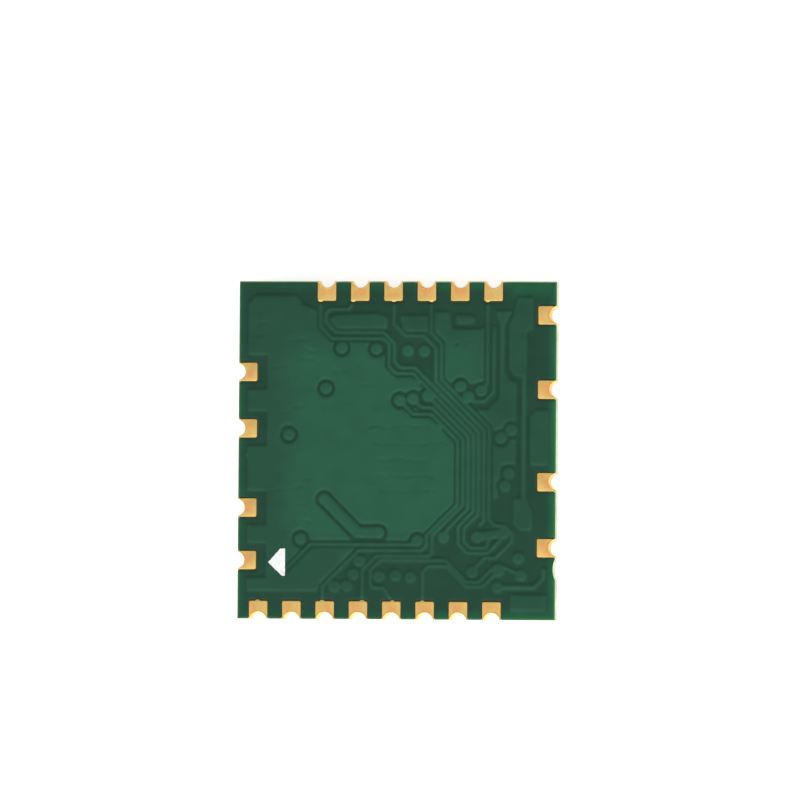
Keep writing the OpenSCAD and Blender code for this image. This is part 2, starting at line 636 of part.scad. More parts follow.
// The end of a track, bare across the gap between the land and the mask
module stub(contact) {
    intersection() {
        mask_opening(contact);
        translate([stub_turn(contact) * contact[2] - stub_w / 2, land_l(contact) / 2])
            square([stub_w, land_l(contact)]);
    }
}

// ---- Radio chip ----

module at_chip() {
    on_component_face() translate([chip_x, chip_y, joint_t]) children();
}

// Children are drawn as the lead at the middle of the right side, once for every lead
module each_lead() {
    for (side = [0 : 3], i = [0 : chip_side_leads - 1])
        rotate(side * 90) translate([chip_w / 2, lead_place(i), 0]) children();
}

module chip_body() {
    color(chip_black) at_chip() difference() {
        translate([-chip_w / 2, -chip_w / 2, 0]) cube([chip_w, chip_w, chip_t]);
        each_lead() translate([-lead_l, -lead_w / 2, -eps]) cube([lead_l + eps, lead_w, lead_t + eps]);
        translate([-thermal_w / 2, -thermal_w / 2, -eps])
            cube([thermal_w, thermal_w, lead_t + eps]);
        translate([pin_mark_in - chip_w / 2, chip_w / 2 - pin_mark_in, chip_t - pin_mark_depth])
            cylinder(r = pin_mark_r, h = eps);
    }
}

module chip_leads() {
    color(tin) at_chip() each_lead()
        translate([-lead_l, -lead_w / 2, 0]) cube([lead_l, lead_w, lead_t]);
}

module chip_thermal_pad() {
    color(tin) at_chip() translate([-thermal_w / 2, -thermal_w / 2, 0])
        cube([thermal_w, thermal_w, lead_t]);
}

// ---- Crystal ----

module at_crystal() {
    on_component_face() translate([crystal_x, crystal_y, joint_t]) children();
}

module crystal_base() {
    color(base_ivory) at_crystal() difference() {
        translate([-crystal_w / 2, -crystal_l / 2, 0])
            cube([crystal_w, crystal_l, crystal_base_t]);
        for (x = [-1, 1], y = [-1, 1])
            translate([x * crystal_w / 2, y * crystal_l / 2, -eps])
                cylinder(r = crystal_notch_r, h = crystal_base_t + 2 * eps);
    }
}

module crystal_lid() {
    lid_r = 0.25;
    color(lid_silver) at_crystal() translate([0, 0, crystal_base_t])
        linear_extrude(crystal_lid_t)
            rounded_rectangle(crystal_w - 2 * lid_step, crystal_l - 2 * lid_step, lid_r);
}

module rounded_rectangle(width, length, r) {
    square([width - 2 * r, length], center = true);
    square([width, length - 2 * r], center = true);
    for (x = [-1, 1], y = [-1, 1])
        translate([x * (width / 2 - r), y * (length / 2 - r)]) circle(r = r);
}

// ---- Power inductor and radio filter ----

module at_choke() {
    on_component_face() translate([choke_x, choke_y, joint_t]) children();
}

// Moulded block with chamfered long edges, let in for its terminals
module power_inductor() {
    chamfer = 0.12;
    half = choke_w / 2;
    inner_l = choke_l - 2 * choke_end_t;
    color(ferrite_grey) at_choke() difference() {
        translate([-inner_l / 2, 0, 0]) rotate([90, 0, 90]) linear_extrude(inner_l)
            polygon([[-half, 0], [half, 0], [half, choke_t - chamfer],
                [half - chamfer, choke_t], [chamfer - half, choke_t],
                [-half, choke_t - chamfer]]);
        for (side = [0, 180]) rotate(side) translate([choke_l / 2 - choke_end_l, -choke_w, -eps])
            cube([choke_end_l, 2 * choke_w, choke_end_t + eps]);
    }
}

// An L-shaped terminal at each end: up the end face and in under the block
module inductor_terminals() {
    color(tin) at_choke() for (side = [0, 180]) rotate(side) translate([0, choke_end_w / 2, 0])
        rotate([90, 0, 0]) linear_extrude(choke_end_w)
            polygon([[choke_l / 2 - choke_end_l, 0], [choke_l / 2, 0], [choke_l / 2, choke_t / 2],
                [choke_l / 2 - choke_end_t, choke_t / 2],
                [choke_l / 2 - choke_end_t, choke_end_t],
                [choke_l / 2 - choke_end_l, choke_end_t]]);
}

module radio_filter() {
    color(filter_blue) on_component_face() translate([filter_x, filter_y, joint_t])
        rotate(90) chip_part(filter_l, filter_w, filter_t, filter_cap_l);
}

// ---- Chip capacitors, resistors and small inductors ----

// A block along x with metal ends that stand a little proud of it
module chip_part(length, width, height, end_l) {
    translate([-length / 2, cap_proud - width / 2, cap_proud])
        cube([length, width - 2 * cap_proud, height - 2 * cap_proud]);
    for (side = [0, 180]) rotate(side) translate([length / 2 - end_l, -width / 2, 0])
        cube([end_l, width, height]);
}

module small_part(place, height) {
    on_component_face() translate([place[0], place[1], joint_t]) rotate(place[2])
        chip_part(part_l, part_w, height, cap_l);
}

// ---- Solder ----

// Solder under and beyond both ends of a part along x, down to the copper through the mask,
// wetting the end faces up to a height
module end_joint(length, width, end_l, wet_h) {
    for (side = [0, 180]) rotate(side) translate([length / 2, width / 2, 0])
        rotate([90, 0, 0]) linear_extrude(width)
            polygon([[-end_l, -mask_t], [fillet_l, -mask_t], [fillet_l, 0],
                [fillet_l / 3, joint_t + wet_h / 4], [0, joint_t + wet_h], [0, joint_t],
                [-end_l, joint_t]]);
}

module small_joint(place, height) {
    wet_share = 0.6;
    translate([place[0], place[1], 0]) rotate(place[2])
        end_joint(part_l, part_w, cap_l, height * wet_share);
}

// Solder between flat lands and a flat underside
module flat_joints(list) {
    translate([0, 0, -mask_t]) linear_extrude(joint_t + mask_t) lands(list, 0);
}

module solder_joints() {
    filter_wet = filter_t * 0.5;
    choke_wet = choke_t * 0.3;
    color(solder_grey) on_component_face() {
        for (place = capacitors) small_joint(place, capacitor_t);
        for (place = resistors) small_joint(place, resistor_t);
        for (place = rf_inductors) small_joint(place, rf_inductor_t);
        translate([filter_x, filter_y, 0]) rotate(90)
            end_joint(filter_l, filter_w, filter_cap_l, filter_wet);
        translate([choke_x, choke_y, 0])
            end_joint(choke_l, choke_end_w, choke_end_l, choke_wet);
        flat_joints(lead_lands);
        flat_joints(crystal_lands);
        flat_joints([[chip_x, chip_y, thermal_w, thermal_w]]);
    }
}

// ---- Drawing ----

circuit_board();
for (i = [0 : len(contacts) - 1])
    contact(contacts[i]);
chip_body();
chip_leads();
chip_thermal_pad();
crystal_base();
crystal_lid();
power_inductor();
inductor_terminals();
radio_filter();
for (i = [0 : len(capacitors) - 1])
    color(capacitor_tan) small_part(capacitors[i], capacitor_t);
for (i = [0 : len(resistors) - 1])
    color(resistor_black) small_part(resistors[i], resistor_t);
for (i = [0 : len(rf_inductors) - 1])
    color(coil_white) small_part(rf_inductors[i], rf_inductor_t);
solder_joints();
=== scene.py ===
"""Finishes a castellated wifi module: mask coats, plated contacts and the small parts it carries."""

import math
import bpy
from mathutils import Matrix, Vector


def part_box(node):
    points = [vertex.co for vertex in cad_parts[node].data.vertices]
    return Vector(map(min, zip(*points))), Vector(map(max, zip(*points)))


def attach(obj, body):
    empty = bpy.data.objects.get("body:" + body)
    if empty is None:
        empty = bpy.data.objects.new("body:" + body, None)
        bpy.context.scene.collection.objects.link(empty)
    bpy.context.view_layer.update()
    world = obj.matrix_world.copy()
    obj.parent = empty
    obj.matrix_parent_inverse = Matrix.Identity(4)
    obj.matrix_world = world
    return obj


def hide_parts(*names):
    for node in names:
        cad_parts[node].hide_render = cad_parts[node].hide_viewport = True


bl_info = {
    "name": "Wifi Module Finish",
    "version": (1, 0, 0),
    "blender": (4, 5, 0),
    "location": "3D View > Sidebar > Wifi Module",
    "description": "Builds the finished surfaces of a castellated wifi module round its frame",
    "category": "Object",
}

import bmesh
import bpy
import numpy as np
from bpy.props import FloatProperty, FloatVectorProperty, IntProperty, PointerProperty
from bpy.types import Operator, Panel, PropertyGroup
from mathutils import Matrix, Vector
from mathutils.bvhtree import BVHTree

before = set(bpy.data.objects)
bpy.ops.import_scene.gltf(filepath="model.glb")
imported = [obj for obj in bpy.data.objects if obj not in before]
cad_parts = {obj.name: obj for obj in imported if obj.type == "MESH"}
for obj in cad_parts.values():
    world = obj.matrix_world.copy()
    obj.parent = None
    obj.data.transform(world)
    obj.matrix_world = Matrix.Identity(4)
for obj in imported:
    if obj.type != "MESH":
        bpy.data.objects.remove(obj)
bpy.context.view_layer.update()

MM = 0.001
BODY = "root"
UP = Vector((0, 0, 1))

# ---- What the frame says ----

board_low, board_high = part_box("circuit_board")
board_w = board_high.x - board_low.x
board_l = board_high.y - board_low.y
contact_names = sorted(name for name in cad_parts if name.startswith("contact_"))
capacitor_names = sorted(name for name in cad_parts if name.startswith("capacitor_"))
resistor_names = sorted(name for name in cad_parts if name.startswith("resistor_"))
coil_names = sorted(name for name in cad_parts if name.startswith("rf_inductor_"))
board_levels = sorted({round(v.co.z, 7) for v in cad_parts["circuit_board"].data.vertices})


class Spot:
    """A contact's place: its edge, its land and its half hole, read from the frame's own solid.

    Its matrix takes a point drawn with the board's edge along x and the board on the +y side."""

    def __init__(self, name):
        self.name = name
        low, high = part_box(name)
        middle = (low + high) / 2
        reach = 0.01 * MM
        if abs(low.y - board_low.y) < reach:
            turn, place = 0, (middle.x, board_low.y, 0)
        elif abs(high.y - board_high.y) < reach:
            turn, place = 180, (middle.x, board_high.y, 0)
        elif abs(low.x - board_low.x) < reach:
            turn, place = -90, (board_low.x, middle.y, 0)
        else:
            turn, place = 90, (board_high.x, middle.y, 0)
        self.matrix = Matrix.Translation(place) @ Matrix.Rotation(math.radians(turn), 4, "Z")
        self.turn = turn
        back = self.matrix.inverted()
        points = [back @ v.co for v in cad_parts[name].data.vertices]
        levels = sorted({round(p.z, 7) for p in points})
        self.bottom, self.laminate_low = levels[0], levels[1]
        self.laminate_high, self.top = levels[-2], levels[-1]
        self.plating = self.top - self.laminate_high
        self.half_w = max(p.x for p in points)
        half_chord = min(abs(p.x) for p in points if abs(p.y) < reach)
        deepest = min((p.xy for p in points if p.y > reach), key=lambda p: p.length)
        self.hole_y = (deepest.length_squared - half_chord**2) / (2 * deepest.y)
        self.hole_r = math.hypot(half_chord, self.hole_y)
        self.reach = max(p.y for p in points)
        self.points = points

    def stub(self, land_l):
        """Where the end of a track runs out past the land, or None."""
        past = [p.x for p in self.points if p.y > land_l + 0.01 * MM]
        return (min(past), max(past)) if past else None


spots = [Spot(name) for name in contact_names]
laminate_low = spots[0].laminate_low
laminate_high = spots[0].laminate_high
bare_high = next(z for z in board_levels if z > laminate_high + 0.001 * MM)
bare_low = next(z for z in reversed(board_levels) if z < laminate_low - 0.001 * MM)
relief = board_high.z - bare_high


def land_length(spot):
    """Length of the lands along a contact's edge, without the track ends past some of them."""
    return min(other.reach for other in spots if other.turn == spot.turn)


# ---- Sizes and colours that a user would change ----


def length(name, description, default_mm, **limits):
    return FloatProperty(
        name=name, description=description, default=default_mm * MM, unit="LENGTH",
        precision=5, **limits,
    )


def colour(name, description, default):
    return FloatVectorProperty(
        name=name, description=description, default=default, subtype="COLOR", size=3,
        min=0.0, max=1.0,
    )


def share(name, description, default):
    return FloatProperty(
        name=name, description=description, default=default, subtype="FACTOR", min=0.0, max=1.0
    )


def power(name, description, default):
    return FloatProperty(
        name=name, description=description, default=default, min=0.0, unit="POWER", precision=3
    )


class BoardLooks(PropertyGroup):
    """Mask coats, laminate and print."""

    solder_cell: length("Solder-side cell", "Side of a cell in the solder-side coat's mesh", 0.0415)
    component_cell: length(
        "Component-side cell", "Side of a cell in the component-side coat's mesh", 0.045
    )
    rim_drop: length("Rim drop", "How far the coat thins along its rims", 0.008)
    setback: length("Setback", "From the board's edge in to the coat", 0.012)
    setback_far: length("Far setback", "From the far edge of the board in to the coat", 0.045)
    gap_side: length("Gap beside a land", "Gap between a land's side and the mask", 0.045)
    gap_end: length("Gap at a land's end", "Gap between a land's inner end and the mask", 0.07)
    gap_joint: length("Gap round a joint", "Gap between a solder joint and the mask", 0.05)
    opening_r: length("Opening corner", "Radius of a mask opening's inner corners", 0.08)
    via_reach: length("Via reach", "Round a via's middle, how far the mask bridges its hole", 0.14)
    crease_l: length("Crease length", "Usual reach of a crease in the mask beside a via", 0.13)
    crease_w: length("Crease width", "Usual reach of a crease across its length", 0.05)
    crease_t: length("Crease depth", "Usual depth of a crease", 0.016)
    bite_len: length("Bite length", "Length of the break-out bite in the right edge", 0.85)
    bite_depth: length("Bite depth", "Depth of that bite", 0.1)
    bite_y: length("Bite place", "Middle of that bite, up from the bottom edge", 1.92)
    arrow_t: length("Ink thickness", "Thickness of the printed arrow", 0.012)
    mask_bright: colour("Mask over planes", "Mask over copper in the middle", (0.022, 0.100, 0.058))
    mask_plain: colour("Mask over copper", "Mask over copper elsewhere", (0.020, 0.076, 0.046))
    mask_bare: colour("Mask over laminate", "Mask where no copper lies under it", (0.0165, 0.059, 0.037))
    mask_ridge: colour("Mask on tracks", "Mask on top of narrow tracks", (0.026, 0.092, 0.061))
    # Painted shade: the mask pooled in the grooves between tracks is darker, and the shade that falls in the
    # grooves is painted into this colour too.
    mask_groove_shade: colour("Mask in grooves", "Mask pooled between tracks", (0.010, 0.050, 0.031))
    # Painted light: green glow of light coming through the rims of the board.
    mask_glow: colour("Mask at the rim", "Mask where light comes through the rim", (0.016, 0.150, 0.058))
    # Painted light: a yellow-green glow along the very rim, where light comes through the thin mask over the
    # laminate.
    mask_edge_glow: colour("Mask's edge", "Mask along its very edge, thin over the laminate", (0.11, 0.22, 0.09))
    laminate: colour("Laminate", "Cut edge of the glass-epoxy laminate", (0.52, 0.60, 0.38))
    # Painted shade: the laminate's face in a mask opening is painted near black, for the shadow that falls in
    # the gap round a land.
    bare: colour("Bare laminate", "Face of the laminate in a mask opening", (0.030, 0.042, 0.011))
    ink: colour("Ink", "Printed arrow", (0.86, 0.87, 0.87))


class ContactLooks(PropertyGroup):
    """Castellated contacts."""

    gold: colour("Gold", "Gold plating near a land's rim", (0.86, 0.62, 0.22))
    deep_gold: colour("Deep gold", "Warmer gold plating in the middle of a land", (0.90, 0.51, 0.19))
    rim: length("Rim", "Width of the soft rim round a land", 0.03)
    lip_w: length("Lip", "Width of the ring of plating round a half hole", 0.06)
    lip_rise: length("Lip rise", "How far that ring stands above the land", 0.003)
    stub_reach: length("Track end", "How far a track's bare end runs out past its land", 0.07)
    corner_r: length("Land corner", "Radius of a land's inner corners", 0.06)
    hole_steps: IntProperty(
        name="Hole steps", description="Segments round a half hole", default=28, min=8, max=64
    )


class PartLooks(PropertyGroup):
    """Parts on the component face."""

    edge: length("Soft edge", "Rounding of the small parts' edges", 0.025)
    end_l: length("Metal end", "Length of a small part's metal end", 0.22)
    filter_end_l: length("Filter's metal end", "Length of the radio filter's metal end", 0.3)
    proud: length("Proud ends", "How far a metal end stands proud of the body", 0.015)
    chip: colour("Chip plastic", "Moulded plastic of the chip", (0.018, 0.018, 0.020))
    tin: colour("Tin", "Tin plating", (0.62, 0.62, 0.63))
    solder: colour("Solder", "Solder joints", (0.50, 0.51, 0.53))
    lid: colour("Crystal lid", "Nickel of the crystal's lid", (0.62, 0.58, 0.50))
    crystal: colour("Crystal base", "Ceramic of the crystal's base", (0.32, 0.27, 0.20))
    ferrite: colour("Ferrite", "Moulded block of the power inductor", (0.055, 0.055, 0.06))
    capacitor: colour("Capacitor", "Ceramic of the chip capacitors", (0.34, 0.20, 0.11))
    alumina: colour("Alumina", "White ceramic of resistors and small inductors", (0.70, 0.70, 0.66))
    resistor: colour("Resistor", "Dark coat of the chip resistors", (0.016, 0.016, 0.02))
    filter: colour("Filter", "Ceramic of the radio filter", (0.42, 0.50, 0.54))


class StageLooks(PropertyGroup):
    """Floor, lights and camera."""

    floor: colour("Floor", "Plain pale floor", (0.86, 0.86, 0.86))
    floor_glow: share("Floor glow", "Light that the floor gives off by itself", 0.62)
    room: share("Room light", "Even light from the whole room", 0.38)
    front: power("Front light", "Power of the low front light", 0.8)
    right: power("Right light", "Power of the light on the right", 0.3)
    left: power("Left light", "Power of the light on the left", 0.06)
    lean_right: FloatProperty(
        name="Lean right", description="How far the camera leans to the right of upright",
        default=math.radians(7.2), subtype="ANGLE",
    )
    lean_front: FloatProperty(
        name="Lean front", description="How far the camera leans to the front of upright",
        default=math.radians(1.8), subtype="ANGLE",
    )
    roll: FloatProperty(
        name="Roll", description="Turn of the camera about its own axis",
        default=math.radians(0.42), subtype="ANGLE",
    )
    lens: FloatProperty(
        name="Lens", description="Focal length of the camera", default=400.0, unit="CAMERA"
    )
    view_w: length("View width", "Width that the camera takes in at the board", 30.28)
    aim_x: length("Aim x", "Point aimed at, right of the board's middle", 0.13)
    aim_y: length("Aim y", "Point aimed at, back from the board's middle", 1.88)


# ---- Mesh helpers ----


def box_of(bm, low, high):
    """Adds a box between two corners and returns its faces."""
    made = bmesh.ops.create_cube(bm, size=1.0)
    size = high - low
    bmesh.ops.scale(bm, vec=size, verts=made["verts"])
    bmesh.ops.translate(bm, vec=(low + high) / 2, verts=made["verts"])
    return list({face for vert in made["verts"] for face in vert.link_faces})


def frame_copy(name):
    """A copy of a frame node's mesh, merged and with its flat faces whole."""
    bm = bmesh.new()
    bm.from_mesh(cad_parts[name].data)
    bmesh.ops.remove_doubles(bm, verts=bm.verts, dist=0.0005 * MM)
    bmesh.ops.dissolve_limit(
        bm, angle_limit=math.radians(1), verts=bm.verts, edges=bm.edges, use_dissolve_boundaries=False
    )
    return bm


def soften(bm, edges, width, segments=3):
    bmesh.ops.bevel(
        bm, geom=edges, offset=width, segments=segments, profile=0.5, affect="EDGES",
        material=-1, clamp_overlap=True,
    )


def sharp_edges(faces):
    """The edges of these faces that turn a corner."""
    edges = {edge for face in faces for edge in face.edges}
    return [e for e in edges if len(e.link_faces) == 2 and e.calc_face_angle() > math.radians(30)]


def piece_from(bm, name, materials, replaced, sharp_angle=math.radians(40)):
    """Turns a bmesh into a finished piece that rides on the board's body."""
    mesh = bpy.data.meshes.new(name)
    bm.to_mesh(mesh)
    bm.free()
    for material in materials:
        mesh.materials.append(material)
    mesh.shade_smooth()
    mesh.set_sharp_from_angle(angle=sharp_angle)
    piece = bpy.data.objects.new(name, mesh)
    bpy.context.scene.collection.objects.link(piece)
    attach(piece, BODY)
    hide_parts(*replaced)
    return piece


def cut_by(piece, cutter):
    """Cuts one mesh object out of another and removes the cutter."""
    cut = piece.modifiers.new("Cut", "BOOLEAN")
    cut.operation = "DIFFERENCE"
    cut.solver = "EXACT"
    cut.object = cutter
    depsgraph = bpy.context.evaluated_depsgraph_get()
    mesh = bpy.data.meshes.new_from_object(piece.evaluated_get(depsgraph))
    bpy.data.objects.remove(piece)
    bpy.data.objects.remove(cutter)
    bm = bmesh.new()
    bm.from_mesh(mesh)
    bpy.data.meshes.remove(mesh)
    return bm


def scratch_object(bm):
    mesh = bpy.data.meshes.new("scratch")
    bm.to_mesh(mesh)
    bm.free()
    scratch = bpy.data.objects.new("scratch", mesh)
    bpy.context.scene.collection.objects.link(scratch)
    return scratch


# ---- Materials ----


def socket_of(tree, value, socket):
    """Links a socket or sets a plain value."""
    if isinstance(value, bpy.types.NodeSocket):
        tree.links.new(value, socket)
    else:
        socket.default_value = value


def add_node(tree, kind, inputs=None, **settings):
    made = tree.nodes.new(kind)
    for name, value in settings.items():
        setattr(made, name, value)
    for name, value in (inputs or {}).items():
        socket_of(tree, value, made.inputs[name])
    return made


def maths(tree, operation, a, b=0.0, clamp=False):
    made = add_node(tree, "ShaderNodeMath", {0: a, 1: b}, operation=operation, use_clamp=clamp)
    return made.outputs[0]


def ramp(tree, value, start, end, low=0.0, high=1.0):
    """A smooth step from low at start to high at end."""
    made = add_node(
        tree, "ShaderNodeMapRange", {0: value, 1: start, 2: end, 3: low, 4: high},
        interpolation_type="SMOOTHSTEP",
    )
    return made.outputs[0]


def mixed(tree, factor, first, second):
    """A colour between two colours."""
    made = tree.nodes.new("ShaderNodeMix")
    made.data_type = "RGBA"
    socket_of(tree, factor, made.inputs[0])
    for value, place in ((first, 6), (second, 7)):
        rgba = value if isinstance(value, bpy.types.NodeSocket) else (*value, 1.0)
        socket_of(tree, rgba, made.inputs[place])
    return made.outputs[2]


def noise(tree, place, grain, detail=2.0, roughness=0.5):
    """Noise whose lumps are about one grain across."""
    made = add_node(
        tree, "ShaderNodeTexNoise",
        {"Vector": place, "Scale": 1.0 / grain, "Detail": detail, "Roughness": roughness},
    )
    return made.outputs[0]


def bump(tree, height, depth, normal=None):
    """A bump whose full height is depth."""
    inputs = {"Height": height, "Distance": depth, "Strength": 1.0}
    if normal is not None:
        inputs["Normal"] = normal
    return add_node(tree, "ShaderNodeBump", inputs).outputs[0]


def new_material(name, roughness=0.5, metallic=0.0):
    """A material with its shader, and where a point lies on the object."""
    material = bpy.data.materials.new(name)
    material.use_nodes = True
    tree = material.node_tree
    shader = tree.nodes["Principled BSDF"]
    shader.inputs["Roughness"].default_value = roughness
    shader.inputs["Metallic"].default_value = metallic
    place = tree.nodes.new("ShaderNodeTexCoord").outputs["Object"]
    return material, tree, shader, place


def axes_of(tree, place):
    parts = add_node(tree, "ShaderNodeSeparateXYZ", {0: place})
    return parts.outputs[0], parts.outputs[1], parts.outputs[2]


def zone(tree, x, y, low, high, soft):
    """One inside a rectangle of the board, given from its lower-left corner in mm, and zero outside."""
    sides = (
        ramp(tree, x, board_low.x + (low[0] - soft) * MM, board_low.x + (low[0] + soft) * MM),
        ramp(tree, x, board_low.x + (high[0] - soft) * MM, board_low.x + (high[0] + soft) * MM, 1, 0),
        ramp(tree, y, board_low.y + (low[1] - soft) * MM, board_low.y + (low[1] + soft) * MM),
        ramp(tree, y, board_low.y + (high[1] - soft) * MM, board_low.y + (high[1] + soft) * MM, 1, 0),
    )
    inside = sides[0]
    for side in sides[1:]:
        inside = maths(tree, "MULTIPLY", inside, side)
    return inside


def mask_material(looks, name, bare_z, copper_z):
    """Green solder mask. Its shade follows the copper under it; painted shade darkens the grooves between
    tracks, and painted light glows through its rims.
    """
    material, tree, shader, place = new_material(name, roughness=0.4)
    shader.inputs["Specular IOR Level"].default_value = 0.12
    x, y, z = axes_of(tree, place)
    margin = (copper_z - bare_z) * 0.2
    copper = ramp(tree, z, bare_z + margin, copper_z - margin)
    middle = zone(tree, x, y, (1.9, 2.9), (9.2, 10.6), 0.8)
    over_copper = mixed(tree, middle, looks.mask_plain, looks.mask_bright)
    green = mixed(tree, copper, looks.mask_bare, over_copper)
    step = add_node(tree, "ShaderNodeAttribute", attribute_name="relief").outputs["Fac"]
    green = mixed(tree, ramp(tree, step, 0.1, 0.8), green, looks.mask_ridge)
    # Painted shade in the grooves, where the coat lies below its surroundings, mixed with the darker mask
    # pooled there.
    green = mixed(tree, ramp(tree, step, -0.05, -0.75), green, looks.mask_groove_shade)
    # Painted light: glow through the rims, stronger towards the right and in the top-right corner, patchy
    # along the edge.
    from_side = maths(tree, "SUBTRACT", board_w / 2, maths(tree, "ABSOLUTE", x))
    from_end = maths(tree, "SUBTRACT", board_l / 2, maths(tree, "ABSOLUTE", y))
    side_glow = ramp(tree, from_side, 0.0, 0.4 * MM, 0.8, 0.0)
    end_glow = ramp(tree, from_end, 0.0, 0.5 * MM, 0.7, 0.0)
    towards_right = ramp(tree, x, -board_w / 2, board_w / 2, 0.45, 1.0)
    corner = zone(tree, x, y, (10.4, 12.3), (12.1, 13.0), 0.3)
    patchy = ramp(tree, noise(tree, place, 3.0 * MM), 0.3, 0.7, 0.5, 1.0)
    glow = maths(tree, "MULTIPLY", maths(tree, "MAXIMUM", side_glow, end_glow), patchy)
    glow = maths(tree, "MULTIPLY", glow, towards_right)
    glow = maths(tree, "MAXIMUM", glow, maths(tree, "MULTIPLY", corner, 0.45))
    green = mixed(tree, glow, green, looks.mask_glow)
    from_rim = maths(tree, "MINIMUM", from_side, from_end)
    # Painted glow along the very rim of the coat.
    green = mixed(tree, ramp(tree, from_rim, 0.0, 0.1 * MM, 0.6, 0.0), green, looks.mask_edge_glow)
    mottled = ramp(tree, noise(tree, place, 0.9 * MM, 3.0), 0.2, 0.8, 0.93, 1.07)
    shade = tree.nodes.new("ShaderNodeVectorMath")
    shade.operation = "SCALE"
    tree.links.new(green, shade.inputs[0])
    tree.links.new(mottled, shade.inputs["Scale"])
    tree.links.new(shade.outputs[0], shader.inputs["Base Color"])
    peel = bump(tree, noise(tree, place, 0.16 * MM, 2.0), 0.0016 * MM)
    weave = bump(tree, noise(tree, place, 0.55 * MM, 1.0), 0.004 * MM, peel)
    tree.links.new(weave, shader.inputs["Normal"])
    tree.links.new(ramp(tree, noise(tree, place, 0.3 * MM), 0.2, 0.8, 0.34, 0.46), shader.inputs["Roughness"])
    return material


def shaded_bare_material(looks):
    """The laminate's face: painted shade makes it near black in the mask openings, and it is pale in the
    laminate's own colour along the board's rim.
    """
    material, tree, shader, place = new_material("shaded_bare_laminate", roughness=0.6)
    x, y, z = axes_of(tree, place)
    from_side = maths(tree, "SUBTRACT", board_w / 2, maths(tree, "ABSOLUTE", x))
    from_end = maths(tree, "SUBTRACT", board_l / 2, maths(tree, "ABSOLUTE", y))
    from_rim = maths(tree, "MINIMUM", from_side, from_end)
    # Painted shade in the openings, fading to the laminate's own pale colour at the board's rim.
    pale = ramp(tree, from_rim, 0.03 * MM, 0.07 * MM, 0.9, 0.0)
    tint = mixed(tree, pale, looks.bare, looks.laminate)
    tree.links.new(tint, shader.inputs["Base Color"])
    rough = bump(tree, noise(tree, place, 0.08 * MM, 3.0), 0.004 * MM)
    tree.links.new(rough, shader.inputs["Normal"])
    return material


def laminate_material(looks):
    """Glass-epoxy laminate with its layers of glass showing on the cut edges."""
    material, tree, shader, place = new_material("laminate", roughness=0.7)
    stretched = add_node(
        tree, "ShaderNodeMapping", {"Vector": place, "Scale": (1.0, 1.0, 5.0)}
    ).outputs[0]
    layers = noise(tree, stretched, 0.5 * MM, 4.0, 0.6)
    pale = tuple(min(1.0, c * 1.25) for c in looks.laminate)
    dark = tuple(c * 0.7 for c in looks.laminate)
    tint = mixed(tree, ramp(tree, layers, 0.3, 0.7), dark, pale)
    tree.links.new(tint, shader.inputs["Base Color"])
    rough = bump(tree, noise(tree, stretched, 0.12 * MM, 3.0), 0.006 * MM)
    tree.links.new(rough, shader.inputs["Normal"])
    return material


def grained_material(name, tint, grain, depth, roughness, metallic=0.0, spread=0.12):
    """A plain finish with a fine grain in its colour, its gloss and its surface."""
    material, tree, shader, place = new_material(name, roughness, metallic)
    light = tuple(min(1.0, c * (1 + spread)) for c in tint)
    dark = tuple(c * (1 - spread) for c in tint)
    grains = noise(tree, place, grain, 3.0, 0.6)
    tree.links.new(mixed(tree, ramp(tree, grains, 0.25, 0.75), dark, light), shader.inputs["Base Color"])
    gloss = ramp(tree, noise(tree, place, grain * 2.3), 0.2, 0.8, roughness - 0.07, roughness + 0.07)
    tree.links.new(gloss, shader.inputs["Roughness"])
    tree.links.new(bump(tree, grains, depth), shader.inputs["Normal"])
    return material


def shared_material(name, make):
    """The material of that name, made the first time that it is asked for."""
    return bpy.data.materials.get(name) or make()


def gold_material(looks):
    """Matt gold plating, yellower towards the rims of each land; its UV map is in millimetres."""
    material, tree, shader, place = new_material("gold", roughness=0.64, metallic=1.0)
    local = add_node(tree, "ShaderNodeUVMap", uv_map="contact").outputs["UV"]
    x, y, _ = axes_of(tree, local)
    from_side = maths(tree, "SUBTRACT", spots[0].half_w / MM, maths(tree, "ABSOLUTE", x))
    from_end = maths(tree, "SUBTRACT", land_length(spots[0]) / MM, y)
    inside = ramp(tree, maths(tree, "MINIMUM", from_side, from_end), 0.02, 0.2)
    patches = ramp(tree, noise(tree, place, 0.45 * MM, 2.0), 0.35, 0.6)
    tint = mixed(tree, maths(tree, "MULTIPLY", inside, patches), looks.gold, looks.deep_gold)
    tree.links.new(tint, shader.inputs["Base Color"])
    gloss = ramp(tree, noise(tree, place, 0.12 * MM, 2.0), 0.2, 0.8, 0.6, 0.7)
    tree.links.new(gloss, shader.inputs["Roughness"])
    grain = bump(tree, noise(tree, place, 0.03 * MM, 3.0), 0.0008 * MM)
    swell = bump(tree, noise(tree, place, 0.25 * MM, 1.0), 0.003 * MM, grain)
    tree.links.new(swell, shader.inputs["Normal"])
    return material


def tin_material(looks):
    return shared_material("tin", lambda: grained_material(
        "tin", looks.tin, 0.05 * MM, 0.002 * MM, 0.35, 1.0))


# ---- Board ----


def opening_outline(spot, looks):
    """The rounded outline of a mask opening, as points on the board."""
    half = spot.half_w + looks.gap_side
    end = land_length(spot) + looks.gap_end
    r = looks.opening_r
    turns = [math.radians(a) for a in range(0, 91, 18)]
    right = [(half - r + r * math.cos(a), end - r + r * math.sin(a)) for a in turns]
    left = [(-px, py) for px, py in reversed(right)]
    outside = -0.2 * MM
    points = [(half, outside), *right, *left, (-half, outside)]
    return [spot.matrix @ Vector((px, py, 0)) for px, py in points]


def bite_circle(looks):
    """Radius and middle of the break-out bite in the right edge."""
    r = (looks.bite_len**2 / 4 + looks.bite_depth**2) / (2 * looks.bite_depth)
    return r, Vector((board_high.x + r - looks.bite_depth, board_low.y + looks.bite_y, 0))


